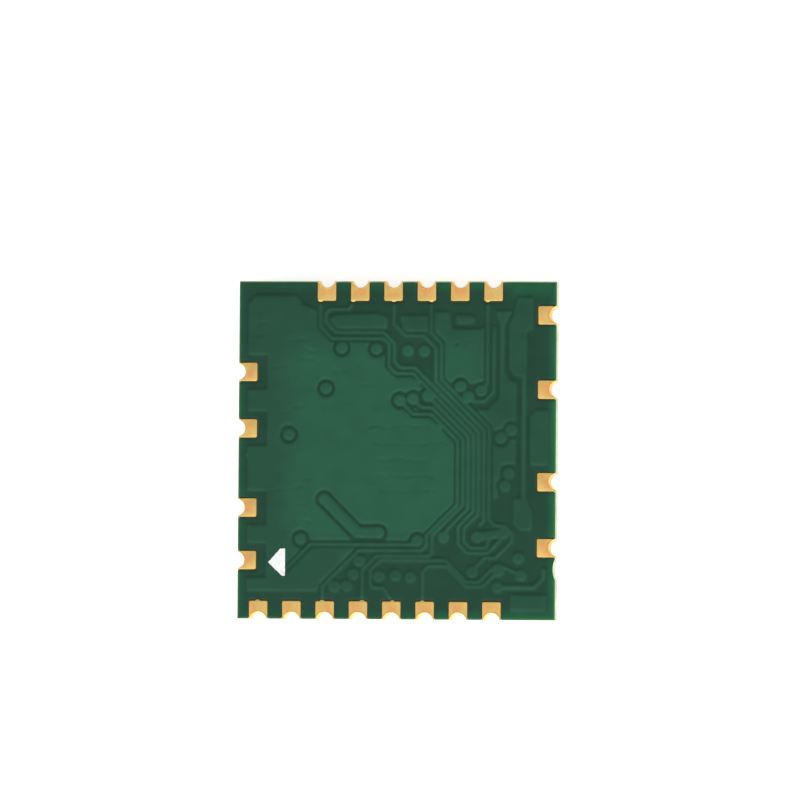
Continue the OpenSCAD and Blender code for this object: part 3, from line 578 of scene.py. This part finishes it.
def bite_outline(looks):
    r, middle = bite_circle(looks)
    spread = math.asin(looks.bite_len / 2 / r)
    turns = [math.pi - spread + 2 * spread * k / 8 for k in range(9)]
    arc = [middle + Vector((r * math.cos(a), r * math.sin(a), 0)) for a in turns]
    outside = Vector((0.1 * MM, 0, 0))
    return [*arc, arc[-1] + outside, arc[0] + outside]


def carve(bm, outline, cell):
    """Cuts a convex outline, given anticlockwise, out of a grid with cells of that side."""
    left, right = min(p.x for p in outline) - cell, max(p.x for p in outline) + cell
    near, far = min(p.y for p in outline) - cell, max(p.y for p in outline) + cell
    around = []
    for face in bm.faces:
        corner = face.verts[0].co
        if left < corner.x < right and near < corner.y < far:
            around.append(face)
    geom = set(around)
    for face in around:
        geom.update(face.edges)
        geom.update(face.verts)
    sides = [(a, b - a) for a, b in zip(outline, outline[1:] + outline[:1])]
    for start, run in sides:
        out = Vector((run.y, -run.x, 0)).normalized()
        cut = bmesh.ops.bisect_plane(
            bm, geom=list(geom), dist=1e-8, plane_co=start, plane_no=out
        )
        geom = {g for g in cut["geom"] if g.is_valid}
    doomed = []
    for face in geom:
        if isinstance(face, bmesh.types.BMFace):
            c = face.calc_center_median()
            if all(run.x * (c.y - start.y) - run.y * (c.x - start.x) > 0 for start, run in sides):
                doomed.append(face)
    bmesh.ops.delete(bm, geom=doomed, context="FACES")


def slid_lines(low, high, count, wanted):
    """Evenly spaced grid lines, with the nearest one slid onto each wanted place."""
    lines = np.linspace(low, high, count + 1)
    for value in wanted:
        lines[np.abs(lines - value).argmin()] = value
    return lines


def coat_grid(cell, looks):
    """A flat grid over the board, set back from its edge, with lines along the mask openings."""
    across = round(board_w / cell)
    along = round(board_l / cell)
    bm = bmesh.new()
    bmesh.ops.create_grid(bm, x_segments=across, y_segments=along, size=0.5)
    outlines = [opening_outline(spot, looks) for spot in spots]
    wanted_x = {round(p.x, 8) for points in outlines for p in (points[0], points[-1], points[6])}
    wanted_y = {round(p.y, 8) for points in outlines for p in (points[0], points[-1], points[6])}
    inner = 0.1 * MM
    xs = slid_lines(
        board_low.x + looks.setback, board_high.x - looks.setback, across,
        [x for x in wanted_x if board_low.x + inner < x < board_high.x - inner],
    )
    ys = slid_lines(
        board_low.y + looks.setback, board_high.y - looks.setback_far, along,
        [y for y in wanted_y if board_low.y + inner < y < board_high.y - inner],
    )
    for vert in bm.verts:
        vert.co.x = xs[round((vert.co.x + 0.5) * across)]
        vert.co.y = ys[round((vert.co.y + 0.5) * along)]
    return bm, xs, ys


def surface_level(tree, x, y, spread, side, start):
    """Mean level of the frame's board round a point, seen from above (side 1) or below (-1)."""
    total, hits = 0.0, 0
    for dx in (-spread, 0.0, spread):
        for dy in (-spread, 0.0, spread):
            place = tree.ray_cast(Vector((x + dx, y + dy, start)), -side * UP)[0]
            if place is not None and (place.z - start) * side > -1.2 * MM:
                total += place.z
                hits += 1
    return total / hits if hits else None


def smoothed(levels, reach):
    """Running mean of a table of levels over a square of 2 * reach + 1 cells."""
    result = levels
    for axis in (0, 1):
        padding = [(0, 0), (0, 0)]
        padding[axis] = (reach + 1, reach)
        total = np.cumsum(np.pad(result, padding, mode="edge"), axis=axis)
        width = 2 * reach + 1
        if axis == 0:
            result = (total[width:] - total[:-width]) / width
        else:
            result = (total[:, width:] - total[:, :-width]) / width
    return result


def softened(levels):
    """Levels blended with their neighbours, as a coat flows over a step."""
    wide = np.pad(levels, 1, mode="edge")
    rows = (wide[:-2] + 2 * wide[1:-1] + wide[2:]) / 4
    return (rows[:, :-2] + 2 * rows[:, 1:-1] + rows[:, 2:]) / 4


def via_places(side):
    """Middles of the dimples in one face of the frame's board."""
    if side > 0:
        level = board_levels[board_levels.index(bare_high) + 1]
    else:
        level = board_levels[board_levels.index(bare_low) - 1]
    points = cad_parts["circuit_board"].data.vertices
    left = [v.co.xy for v in points if abs(v.co.z - level) < 0.001 * MM]
    reach = 0.25 * MM
    places = []
    while left:
        group = [p for p in left if (p - left[0]).length < reach]
        low = Vector(map(min, *group)) if len(group) > 1 else group[0]
        high = Vector(map(max, *group)) if len(group) > 1 else group[0]
        places.append((low + high) / 2)
        left = [p for p in left if (p - places[-1]).length > reach]
    return places


def crease(levels, x, y, size, turn, depth):
    """Presses one crease into a table of levels, given places measured from its middle."""
    along = (x * math.cos(turn) + y * math.sin(turn)) / size[0]
    across = (y * math.cos(turn) - x * math.sin(turn)) / size[1]
    dent = np.exp(-(along**2) - across**2)
    swelling = np.exp(-(along**2) - (across + 1.9) ** 2)
    levels -= depth * (dent - 0.5 * swelling)


def tented(levels, xs, ys, looks, side, outer_z):
    """Levels with the mask bridging each via, creased beside those that stand in a plane."""
    rng = np.random.default_rng(11)
    depths = np.zeros_like(levels)
    places = via_places(side)
    for place in places:
        x, y = np.meshgrid(xs - place.x, ys - place.y)
        levels[np.hypot(x, y) < looks.via_reach] = outer_z
    for place in places:
        x, y = np.meshgrid(xs - place.x, ys - place.y)
        in_plane = np.ptp(levels[np.hypot(x, y) < 2.5 * looks.via_reach]) < relief / 2
        if not in_plane:
            continue
        lift = rng.normal(0.0, 0.04) * MM
        for step in (-1, 0, 1):
            if rng.random() < 0.25:
                continue
            size = (looks.crease_l * rng.uniform(0.7, 1.3), looks.crease_w * rng.uniform(0.8, 1.3))
            depth = looks.crease_t * rng.uniform(0.4, 1.2)
            lift += rng.normal(0.0, 0.035) * MM
            crease(depths, x - step * 1.4 * looks.crease_l, y - lift, size, rng.normal(0, 0.35), depth)
    return levels + side * depths


def coat(looks, cell, side, outlines):
    """One mask coat: its face follows the frame's relief, its rims drop to the laminate."""
    board = bmesh.new()
    board.from_mesh(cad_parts["circuit_board"].data)
    tree = BVHTree.FromBMesh(board)
    board.free()
    base_z = laminate_high if side > 0 else laminate_low
    start = board_high.z + 0.5 * MM if side > 0 else board_low.z - 0.5 * MM
    outer_z = board_high.z if side > 0 else board_low.z
    bm, xs, ys = coat_grid(cell, looks)
    levels = np.empty((len(ys), len(xs)))
    for j, y in enumerate(ys):
        for i, x in enumerate(xs):
            level = surface_level(tree, x, y, cell / 3, side, start)
            levels[j, i] = outer_z if level is None else level
    levels = tented(levels, xs, ys, looks, side, outer_z)
    levels = softened(softened(levels))
    levels = side * np.clip(side * levels, side * base_z + 0.012 * MM, side * outer_z)
    around = smoothed(levels, 4)
    layer = bm.verts.layers.float.new("relief")
    for index, vert in enumerate(bm.verts):
        j, i = divmod(index, len(xs))
        vert.co.z = levels[j, i]
        vert[layer] = side * (levels[j, i] - around[j, i]) / relief
    for outline in outlines:
        carve(bm, outline, cell)
    rim = [edge for edge in bm.edges if edge.is_boundary]
    for vert in {vert for edge in rim for vert in edge.verts}:
        vert.co.z -= side * looks.rim_drop
    wall = bmesh.ops.extrude_edge_only(bm, edges=rim)["geom"]
    for vert in wall:
        if isinstance(vert, bmesh.types.BMVert):
            vert.co.z = base_z
    under = [edge for edge in wall if isinstance(edge, bmesh.types.BMEdge)]
    bmesh.ops.contextual_create(bm, geom=under)
    bmesh.ops.recalc_face_normals(bm, faces=bm.faces)
    return bm


def islands(bm):
    """The loose parts of a mesh, each a list of its vertices."""
    left = set(bm.verts)
    parts = []
    while left:
        part, edge = [], [left.pop()]
        while edge:
            vert = edge.pop()
            part.append(vert)
            fresh = {e.other_vert(vert) for e in vert.link_edges} & left
            left -= fresh
            edge.extend(fresh)
        parts.append(part)
    return parts


def joint_outlines(looks):
    """Mask openings round the solder joints, apart from those under the chip."""
    chip_low, chip_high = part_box("chip_body")
    bm = frame_copy("solder_joints")
    outlines = []
    for part in islands(bm):
        left, right = min(v.co.x for v in part), max(v.co.x for v in part)
        near, far = min(v.co.y for v in part), max(v.co.y for v in part)
        middle_x, middle_y = (left + right) / 2, (near + far) / 2
        if chip_low.x < middle_x < chip_high.x and chip_low.y < middle_y < chip_high.y:
            continue
        gap = looks.gap_joint
        outlines.append([
            Vector((left - gap, near - gap, 0)), Vector((right + gap, near - gap, 0)),
            Vector((right + gap, far + gap, 0)), Vector((left - gap, far + gap, 0)),
        ])
    bm.free()
    return outlines


class WIFI_OT_laminate(Operator):
    """Make the laminate core with its notches for the plated half holes"""

    bl_idname = "wifi_module.laminate"
    bl_label = "Laminate"

    def execute(self, context):
        looks = context.scene.wifi_board
        core = bmesh.new()
        low = Vector((board_low.x, board_low.y, laminate_low))
        high = Vector((board_high.x, board_high.y, laminate_high))
        box_of(core, low, high)
        cutters = bmesh.new()
        depth = 4 * MM
        for spot in spots:
            r = spot.hole_r + spot.plating
            bmesh.ops.create_cone(
                cutters, segments=56, radius1=r, radius2=r, depth=depth, cap_ends=True,
                matrix=spot.matrix @ Matrix.Translation((0, spot.hole_y, 0)),
            )
        r, middle = bite_circle(looks)
        bmesh.ops.create_cone(
            cutters, segments=96, radius1=r, radius2=r, depth=depth, cap_ends=True,
            matrix=Matrix.Translation(middle),
        )
        bm = cut_by(scratch_object(core), scratch_object(cutters))
        for face in bm.faces:
            # Flat faces take the face material, painted dark for the shade in the openings; the cut edges
            # take the laminate's own colour.
            face.material_index = int(abs(face.normal.z) > 0.5)
        materials = [laminate_material(looks), shaded_bare_material(looks)]
        piece_from(bm, "laminate_core", materials, ["circuit_board"])
        return {"FINISHED"}


class WIFI_OT_solder_side_mask(Operator):
    """Make the solder-side mask coat over the tracks, planes and vias"""

    bl_idname = "wifi_module.solder_side_mask"
    bl_label = "Solder-side mask"

    def execute(self, context):
        looks = context.scene.wifi_board
        outlines = [opening_outline(spot, looks) for spot in spots]
        bm = coat(looks, looks.solder_cell, 1, [*outlines, bite_outline(looks)])
        material = mask_material(looks, "solder_side_mask", bare_high, board_high.z)
        piece_from(
            bm, "solder_side_mask", [material], ["circuit_board"], math.radians(65)
        )
        return {"FINISHED"}


class WIFI_OT_component_side_mask(Operator):
    """Make the component-side mask coat"""

    bl_idname = "wifi_module.component_side_mask"
    bl_label = "Component-side mask"

    def execute(self, context):
        looks = context.scene.wifi_board
        outlines = [opening_outline(spot, looks) for spot in spots]
        outlines += [bite_outline(looks), *joint_outlines(looks)]
        bm = coat(looks, looks.component_cell, -1, outlines)
        material = mask_material(looks, "component_side_mask", bare_low, board_low.z)
        piece_from(
            bm, "component_side_mask", [material], ["circuit_board"], math.radians(65)
        )
        return {"FINISHED"}


class WIFI_OT_print_arrow(Operator):
    """Print the arrow beside the first contact"""

    bl_idname = "wifi_module.print_arrow"
    bl_label = "Printed arrow"

    def execute(self, context):
        looks = context.scene.wifi_board
        corners = [(1.17, 2.14), (1.7, 1.63), (1.82, 1.63), (1.82, 2.66), (1.64, 2.66)]
        bm = bmesh.new()
        bm.faces.new([
            bm.verts.new((board_low.x + px * MM, board_low.y + py * MM, board_high.z))
            for px, py in corners
        ])
        bmesh.ops.bevel(
            bm, geom=bm.verts[:], offset=0.04 * MM, segments=3, profile=0.5, affect="VERTICES",
            material=-1,
        )
        outline = [vert.co.copy() for face in bm.faces for vert in face.verts]
        bm.free()
        low = Vector(map(min, *[p.to_tuple() for p in outline]))
        high = Vector(map(max, *[p.to_tuple() for p in outline]))
        bm = bmesh.new()
        cell = 0.03 * MM
        size = high - low
        bmesh.ops.create_grid(
            bm, x_segments=round(size.x / cell), y_segments=round(size.y / cell), size=0.5
        )
        bmesh.ops.scale(bm, vec=(size.x, size.y, 1), verts=bm.verts)
        bmesh.ops.translate(bm, vec=(low + high) / 2, verts=bm.verts)
        for a, b in zip(outline, outline[1:] + outline[:1]):
            run = b - a
            bmesh.ops.bisect_plane(
                bm, geom=bm.verts[:] + bm.edges[:] + bm.faces[:], dist=1e-8, plane_co=a,
                plane_no=Vector((run.y, -run.x, 0)), clear_outer=True,
            )
        coat_piece = bpy.data.objects["solder_side_mask"]
        tree = BVHTree.FromObject(coat_piece, context.evaluated_depsgraph_get())
        for vert in bm.verts:
            place = tree.ray_cast(vert.co + UP * MM, -UP)[0]
            if place is None:
                raise RuntimeError("the arrow runs off the mask")
            vert.co.z = place.z
        top = bmesh.ops.extrude_face_region(bm, geom=bm.faces[:])["geom"]
        raised = [g for g in top if isinstance(g, bmesh.types.BMVert)]
        bmesh.ops.translate(bm, vec=UP * looks.arrow_t, verts=raised)
        bmesh.ops.recalc_face_normals(bm, faces=bm.faces)
        ink = grained_material("white_ink", looks.ink, 0.06 * MM, 0.004 * MM, 0.6, 0.0, 0.06)
        piece_from(bm, "printed_arrow", [ink], ["circuit_board"])
        return {"FINISHED"}


# ---- Contacts ----


def arc_verts(first):
    """The vertices of the open chain that starts at first, in order."""
    chain = [first]
    edge = first.link_edges[0] if first.link_edges else None
    while edge is not None:
        nxt = edge.other_vert(chain[-1])
        chain.append(nxt)
        following = [e for e in nxt.link_edges if e is not edge]
        edge = following[0] if following else None
    return chain


def land(bm, spot, looks, side):
    """A land plate on the solder face (side 1) or the component face (-1)."""
    inner_z = spot.laminate_high if side > 0 else spot.laminate_low
    outer_z = spot.top if side > 0 else spot.bottom
    notch_r = spot.hole_r + looks.lip_w
    end = land_length(spot)
    start = max(math.asin(-spot.hole_y / notch_r), math.acos(min(1.0, spot.half_w / notch_r)))
    foot = spot.hole_y + notch_r * math.sin(start)
    first = bm.verts.new((notch_r * math.cos(start), foot, outer_z))
    bmesh.ops.spin(
        bm, geom=[first], cent=(0, spot.hole_y, 0), axis=UP, angle=math.pi - 2 * start,
        steps=looks.hole_steps, use_duplicate=False,
    )
    chain = arc_verts(first)
    corners = [(-spot.half_w, end), (spot.half_w, end)]
    if foot < 0.001 * MM:
        corners = [(-spot.half_w, foot), *corners, (spot.half_w, foot)]
    added = [bm.verts.new((px, py, outer_z)) for px, py in corners]
    bm.faces.new(chain + added)
    inner = [v for v in added if abs(v.co.y - end) < 1e-9]
    rounded = bmesh.ops.bevel(
        bm, geom=inner, offset=looks.corner_r, segments=4, profile=0.5, affect="VERTICES", material=-1
    )
    face = next(f for v in rounded["verts"] for f in v.link_faces)
    extruded = bmesh.ops.extrude_face_region(bm, geom=[face], use_keep_orig=True)["geom"]
    low = [g for g in extruded if isinstance(g, bmesh.types.BMVert)]
    bmesh.ops.translate(bm, vec=UP * (inner_z - outer_z), verts=low)
    hole = Vector((0, spot.hole_y))
    outer_edges = [
        e for e in face.edges
        if not all(abs((v.co.xy - hole).length - notch_r) < 1e-7 for v in e.verts)
        and not all(abs(v.co.y) < 1e-9 for v in e.verts)
    ]
    soften(bm, outer_edges, looks.rim, 3)


def plated_barrel(spot, looks):
    """The plated half hole, with a raised ring round it on each face."""
    bm = bmesh.new()
    wall_r = spot.hole_r + spot.plating
    ring_r = spot.hole_r + looks.lip_w
    top = spot.top + looks.lip_rise
    outer_round, inner_round = looks.lip_w * 0.3, looks.lip_w * 0.6
    turns = [math.radians(a) for a in range(0, 91, 18)]
    upper = [(wall_r, spot.laminate_high), (ring_r, spot.laminate_high)]
    upper += [
        (ring_r - outer_round * (1 - math.cos(a)), top - outer_round * (1 - math.sin(a)))
        for a in turns
    ]
    upper += [
        (spot.hole_r + inner_round * (1 - math.sin(a)), top - inner_round * (1 - math.cos(a)))
        for a in turns
    ]
    lower = [(r, spot.bottom + spot.top - z) for r, z in reversed(upper)]
    verts = [bm.verts.new((r, spot.hole_y, z)) for r, z in upper + lower]
    edges = [bm.edges.new(pair) for pair in zip(verts, verts[1:] + verts[:1])]
    bmesh.ops.spin(
        bm, geom=verts + edges, cent=(0, spot.hole_y, 0), axis=UP, angle=math.pi,
        steps=looks.hole_steps, use_duplicate=False,
    )
    sides = max(spot.half_w, wall_r)
    for normal, reach in (((0, -1, 0), 0.0), ((1, 0, 0), sides), ((-1, 0, 0), sides)):
        outwards = Vector(normal)
        cut = bmesh.ops.bisect_plane(
            bm, geom=bm.verts[:] + bm.edges[:] + bm.faces[:], dist=1e-8, plane_co=outwards * reach,
            plane_no=outwards, clear_outer=True,
        )
        rim = [g for g in cut["geom_cut"] if isinstance(g, bmesh.types.BMEdge)]
        bmesh.ops.holes_fill(bm, edges=rim, sides=0)
    return bm


def track_end(bm, spot, looks):
    """The rounded bare end of a track that meets a land."""
    ends = spot.stub(land_length(spot))
    if ends is None:
        return
    circle = bmesh.ops.create_circle(bm, cap_ends=True, segments=24, radius=1.0)["verts"]
    half = (ends[1] - ends[0]) / 2 * 1.1
    bmesh.ops.scale(bm, vec=(half, looks.stub_reach, 1.0), verts=circle)
    middle = Vector(((ends[0] + ends[1]) / 2, land_length(spot) - 0.02 * MM, spot.laminate_high))
    bmesh.ops.translate(bm, vec=middle, verts=circle)
    face = circle[0].link_faces[0]
    raised = bmesh.ops.extrude_face_region(bm, geom=[face], use_keep_orig=True)["geom"]
    high = [g for g in raised if isinstance(g, bmesh.types.BMVert)]
    bmesh.ops.translate(bm, vec=UP * (spot.plating - 0.006 * MM), verts=high)
    rim = [g for g in raised if isinstance(g, bmesh.types.BMEdge)]
    soften(bm, rim, looks.rim / 2, 2)


class WIFI_OT_contacts(Operator):
    """Make the castellated contacts: two lands each, and the plated half hole between them"""

    bl_idname = "wifi_module.contacts"
    bl_label = "Castellated contacts"

    def execute(self, context):
        looks = context.scene.wifi_contacts
        gold = gold_material(looks)
        for number, spot in enumerate(spots, 1):
            bm = plated_barrel(spot, looks)
            for side in (1, -1):
                land(bm, spot, looks, side)
            track_end(bm, spot, looks)
            bmesh.ops.recalc_face_normals(bm, faces=bm.faces)
            layer = bm.loops.layers.uv.new("contact")
            for loop in (loop for face in bm.faces for loop in face.loops):
                loop[layer].uv = loop.vert.co.xy / MM
            bm.transform(spot.matrix)
            piece_from(bm, f"plated_contact_{number:02d}", [gold], [spot.name])
        return {"FINISHED"}


# ---- Parts on the component face ----


class WIFI_OT_radio_chip(Operator):
    """Make the radio chip's moulding and finish its leads and thermal pad"""

    bl_idname = "wifi_module.radio_chip"
    bl_label = "Radio chip"

    def execute(self, context):
        looks = context.scene.wifi_parts
        plastic = grained_material("chip_plastic", looks.chip, 0.05 * MM, 0.004 * MM, 0.6)
        low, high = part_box("chip_body")
        bm = frame_copy("chip_body")
        reach = 0.001 * MM
        rim = [
            e for e in bm.edges
            if e.is_manifold and e.calc_face_angle() > math.radians(60)
            and all(abs(v.co.z - low.z) < reach for v in e.verts)
            and any(abs(v.co.x - low.x) < reach or abs(v.co.x - high.x) < reach for v in e.verts)
            and any(abs(v.co.y - low.y) < reach or abs(v.co.y - high.y) < reach for v in e.verts)
        ]
        soften(bm, rim, looks.edge)
        piece_from(bm, "chip_moulding", [plastic], ["chip_body"])
        for name in ("chip_leads", "chip_thermal_pad"):
            dress(name, tin_material(looks))
        return {"FINISHED"}


def dress(name, material):
    """Gives a frame node its finish."""
    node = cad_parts[name]
    node.data.materials.clear()
    node.data.materials.append(material)


class WIFI_OT_crystal(Operator):
    """Make the crystal's ceramic base and its metal lid"""

    bl_idname = "wifi_module.crystal"
    bl_label = "Crystal"

    def execute(self, context):
        looks = context.scene.wifi_parts
        ceramic = grained_material("crystal_ceramic", looks.crystal, 0.06 * MM, 0.004 * MM, 0.65)
        nickel = grained_material("lid_nickel", looks.lid, 0.09 * MM, 0.003 * MM, 0.3, 1.0)
        bm = frame_copy("crystal_base")
        soften(bm, sharp_edges(bm.faces), looks.edge * 0.6, 2)
        piece_from(bm, "crystal_housing", [ceramic], ["crystal_base"])
        bm = frame_copy("crystal_lid")
        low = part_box("crystal_lid")[0]
        face = next(f for f in bm.faces if abs(f.calc_center_median().z - low.z) < 0.001 * MM)
        soften(bm, list(face.edges), looks.edge, 3)
        piece_from(bm, "crystal_cap", [nickel], ["crystal_lid"])
        return {"FINISHED"}


class WIFI_OT_power_inductor(Operator):
    """Make the power inductor's moulded block and its terminals"""

    bl_idname = "wifi_module.power_inductor"
    bl_label = "Power inductor"

    def execute(self, context):
        looks = context.scene.wifi_parts
        ferrite = grained_material("ferrite", looks.ferrite, 0.07 * MM, 0.01 * MM, 0.7)
        bm = frame_copy("power_inductor")
        soften(bm, sharp_edges(bm.faces), looks.edge, 2)
        piece_from(bm, "inductor_block", [ferrite], ["power_inductor"])
        bm = frame_copy("inductor_terminals")
        soften(bm, sharp_edges(bm.faces), looks.edge * 0.6, 2)
        piece_from(
            bm, "inductor_end_terminals", [tin_material(looks)], ["inductor_terminals"]
        )
        return {"FINISHED"}


def chip_part(name, end_l, looks, materials, top_coat=False):
    """A ceramic block between two rounded metal ends. Returns its bmesh.

    Material 0 is the metal, 1 the block and 2 a dark coat on the block's outer face."""
    low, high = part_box(name)
    size = high - low
    turned = size.y > size.x
    bm = bmesh.new()
    inset = Vector((looks.proud, 0, looks.proud)) if turned else Vector((0, looks.proud, looks.proud))
    reach = Vector((0, end_l * 0.5, 0)) if turned else Vector((end_l * 0.5, 0, 0))
    block = box_of(bm, low + inset + reach, high - inset - reach)
    for face in block:
        face.material_index = 1
    if top_coat:
        outer = min(block, key=lambda f: f.calc_center_median().z)
        outer.material_index = 2
    long_edges = [
        e for e in {e for f in block for e in f.edges}
        if abs((e.verts[0].co - e.verts[1].co).normalized().dot(reach.normalized())) > 0.9
    ]
    soften(bm, long_edges, looks.edge * 0.5, 2)
    for end in (0, 1):
        cap_low, cap_high = low.copy(), high.copy()
        axis = 1 if turned else 0
        if end:
            cap_low[axis] = high[axis] - end_l
        else:
            cap_high[axis] = low[axis] + end_l
        cap = box_of(bm, cap_low, cap_high)
        soften(bm, sharp_edges(cap), looks.edge, 3)
    return bm, materials


class WIFI_OT_chip_capacitors(Operator):
    """Make the chip capacitors"""

    bl_idname = "wifi_module.chip_capacitors"
    bl_label = "Chip capacitors"

    def execute(self, context):
        looks = context.scene.wifi_parts
        brown = grained_material("capacitor_ceramic", looks.capacitor, 0.04 * MM, 0.002 * MM, 0.5)
        for name in capacitor_names:
            bm, materials = chip_part(name, looks.end_l, looks, [tin_material(looks), brown])
            piece_from(bm, f"chip_{name}", materials, [name])
        return {"FINISHED"}


class WIFI_OT_chip_resistors(Operator):
    """Make the chip resistors"""

    bl_idname = "wifi_module.chip_resistors"
    bl_label = "Chip resistors"

    def execute(self, context):
        looks = context.scene.wifi_parts
        white = shared_material("alumina", lambda: grained_material(
            "alumina", looks.alumina, 0.04 * MM, 0.002 * MM, 0.6))
        black = grained_material("resistor_coat", looks.resistor, 0.05 * MM, 0.002 * MM, 0.35)
        for name in resistor_names:
            bm, materials = chip_part(
                name, looks.end_l, looks, [tin_material(looks), white, black], top_coat=True
            )
            piece_from(bm, f"chip_{name}", materials, [name])
        return {"FINISHED"}


class WIFI_OT_small_inductors(Operator):
    """Make the two small inductors of the antenna match"""

    bl_idname = "wifi_module.small_inductors"
    bl_label = "Small inductors"

    def execute(self, context):
        looks = context.scene.wifi_parts
        white = shared_material("alumina", lambda: grained_material(
            "alumina", looks.alumina, 0.04 * MM, 0.002 * MM, 0.6))
        for name in coil_names:
            bm, materials = chip_part(name, looks.end_l, looks, [tin_material(looks), white])
            piece_from(bm, f"chip_{name}", materials, [name])
        return {"FINISHED"}


class WIFI_OT_radio_filter(Operator):
    """Make the radio filter"""

    bl_idname = "wifi_module.radio_filter"
    bl_label = "Radio filter"

    def execute(self, context):
        looks = context.scene.wifi_parts
        blue = grained_material("filter_ceramic", looks.filter, 0.05 * MM, 0.002 * MM, 0.5)
        bm, materials = chip_part(
            "radio_filter", looks.filter_end_l, looks, [tin_material(looks), blue]
        )
        piece_from(bm, "filter_block", materials, ["radio_filter"])
        return {"FINISHED"}


class WIFI_OT_solder_joints(Operator):
    """Finish the solder joints"""

    bl_idname = "wifi_module.solder_joints"
    bl_label = "Solder joints"

    def execute(self, context):
        looks = context.scene.wifi_parts
        solder = grained_material("solder", looks.solder, 0.08 * MM, 0.004 * MM, 0.3, 1.0)
        bm = frame_copy("solder_joints")
        soften(bm, sharp_edges(bm.faces), looks.edge * 0.5, 2)
        piece_from(bm, "solder_fillets", [solder], ["solder_joints"])
        return {"FINISHED"}


# ---- Stage ----


def area_light(name, place, aim, size, power):
    light = bpy.data.lights.new(name, "AREA")
    light.shape = "RECTANGLE"
    light.size, light.size_y = size
    light.energy = power
    lamp = bpy.data.objects.new(name, light)
    bpy.context.scene.collection.objects.link(lamp)
    lamp.location = place
    lamp.rotation_euler = (aim - place).to_track_quat("-Z", "Y").to_euler()
    return lamp


class WIFI_OT_stage(Operator):
    """Set the floor, the lights and the camera"""

    bl_idname = "wifi_module.stage"
    bl_label = "Stage"

    def execute(self, context):
        looks = context.scene.wifi_stage
        scene = context.scene
        scene.view_settings.view_transform = "Standard"
        bm = bmesh.new()
        bmesh.ops.create_grid(bm, x_segments=1, y_segments=1, size=2.0)
        mesh = bpy.data.meshes.new("floor")
        bm.to_mesh(mesh)
        bm.free()
        floor = bpy.data.objects.new("floor", mesh)
        scene.collection.objects.link(floor)
        material, tree, shader, place = new_material("floor", 0.8)
        shader.inputs["Base Color"].default_value = (*looks.floor, 1.0)
        shader.inputs["Emission Color"].default_value = (1.0, 1.0, 1.0, 1.0)
        shader.inputs["Emission Strength"].default_value = looks.floor_glow
        mesh.materials.append(material)

        world = bpy.data.worlds.new("room")
        scene.world = world
        world.use_nodes = True
        backdrop = world.node_tree.nodes["Background"]
        backdrop.inputs["Color"].default_value = (1.0, 1.0, 1.0, 1.0)
        backdrop.inputs["Strength"].default_value = looks.room

        board_top = Vector((0, 0, board_high.z))
        area_light("front_light", Vector((0.0, -0.22, 0.11)), board_top, (0.3, 0.14), looks.front)
        area_light("left_light", Vector((-0.22, 0.02, 0.16)), board_top, (0.2, 0.2), looks.left)
        area_light("right_light", Vector((0.22, -0.04, 0.16)), board_top, (0.2, 0.2), looks.right)

        camera_data = bpy.data.cameras.new("camera")
        camera_data.lens = looks.lens
        camera = bpy.data.objects.new("camera", camera_data)
        scene.collection.objects.link(camera)
        distance = looks.view_w / 2 / math.tan(math.atan(camera_data.sensor_width / 2 / looks.lens))
        aim = board_top + Vector((looks.aim_x, looks.aim_y, 0))
        lean = Vector((math.tan(looks.lean_right), -math.tan(looks.lean_front), 1.0)).normalized()
        camera.location = aim + lean * distance
        right = Vector((0, 1, 0)).cross(lean).normalized()
        turn = Matrix((right, lean.cross(right), lean)).transposed().to_4x4()
        camera.rotation_euler = (turn @ Matrix.Rotation(looks.roll, 4, "Z")).to_euler()
        camera_data.clip_start = distance * 0.05
        camera_data.clip_end = distance * 40
        scene.camera = camera
        return {"FINISHED"}


# ---- Add-on ----

OPERATORS = (
    WIFI_OT_laminate,
    WIFI_OT_solder_side_mask,
    WIFI_OT_component_side_mask,
    WIFI_OT_print_arrow,
    WIFI_OT_contacts,
    WIFI_OT_radio_chip,
    WIFI_OT_crystal,
    WIFI_OT_power_inductor,
    WIFI_OT_radio_filter,
    WIFI_OT_chip_capacitors,
    WIFI_OT_chip_resistors,
    WIFI_OT_small_inductors,
    WIFI_OT_solder_joints,
    WIFI_OT_stage,
)
SETTINGS = {
    "wifi_board": BoardLooks,
    "wifi_contacts": ContactLooks,
    "wifi_parts": PartLooks,
    "wifi_stage": StageLooks,
}


class WIFI_PT_module(Panel):
    """Sizes, colours and the pieces that they make"""

    bl_label = "Wifi Module"
    bl_idname = "WIFI_PT_module"
    bl_space_type = "VIEW_3D"
    bl_region_type = "UI"
    bl_category = "Wifi Module"

    def draw(self, context):
        for operator in OPERATORS:
            self.layout.operator(operator.bl_idname)
        for name, group in SETTINGS.items():
            column = self.layout.column()
            column.label(text=group.__doc__)
            for prop in group.__annotations__:
                column.prop(getattr(context.scene, name), prop)


def register():
    for group in SETTINGS.values():
        bpy.utils.register_class(group)
    for name, group in SETTINGS.items():
        setattr(bpy.types.Scene, name, PointerProperty(type=group))
    for operator in OPERATORS:
        bpy.utils.register_class(operator)
    bpy.utils.register_class(WIFI_PT_module)


def unregister():
    bpy.utils.unregister_class(WIFI_PT_module)
    for operator in reversed(OPERATORS):
        bpy.utils.unregister_class(operator)
    for name, group in SETTINGS.items():
        delattr(bpy.types.Scene, name)
        bpy.utils.unregister_class(group)


def main():
    register()
    for operator in OPERATORS:
        group, name = operator.bl_idname.split(".")
        getattr(getattr(bpy.ops, group), name)()


if __name__ == "__main__":
    main()
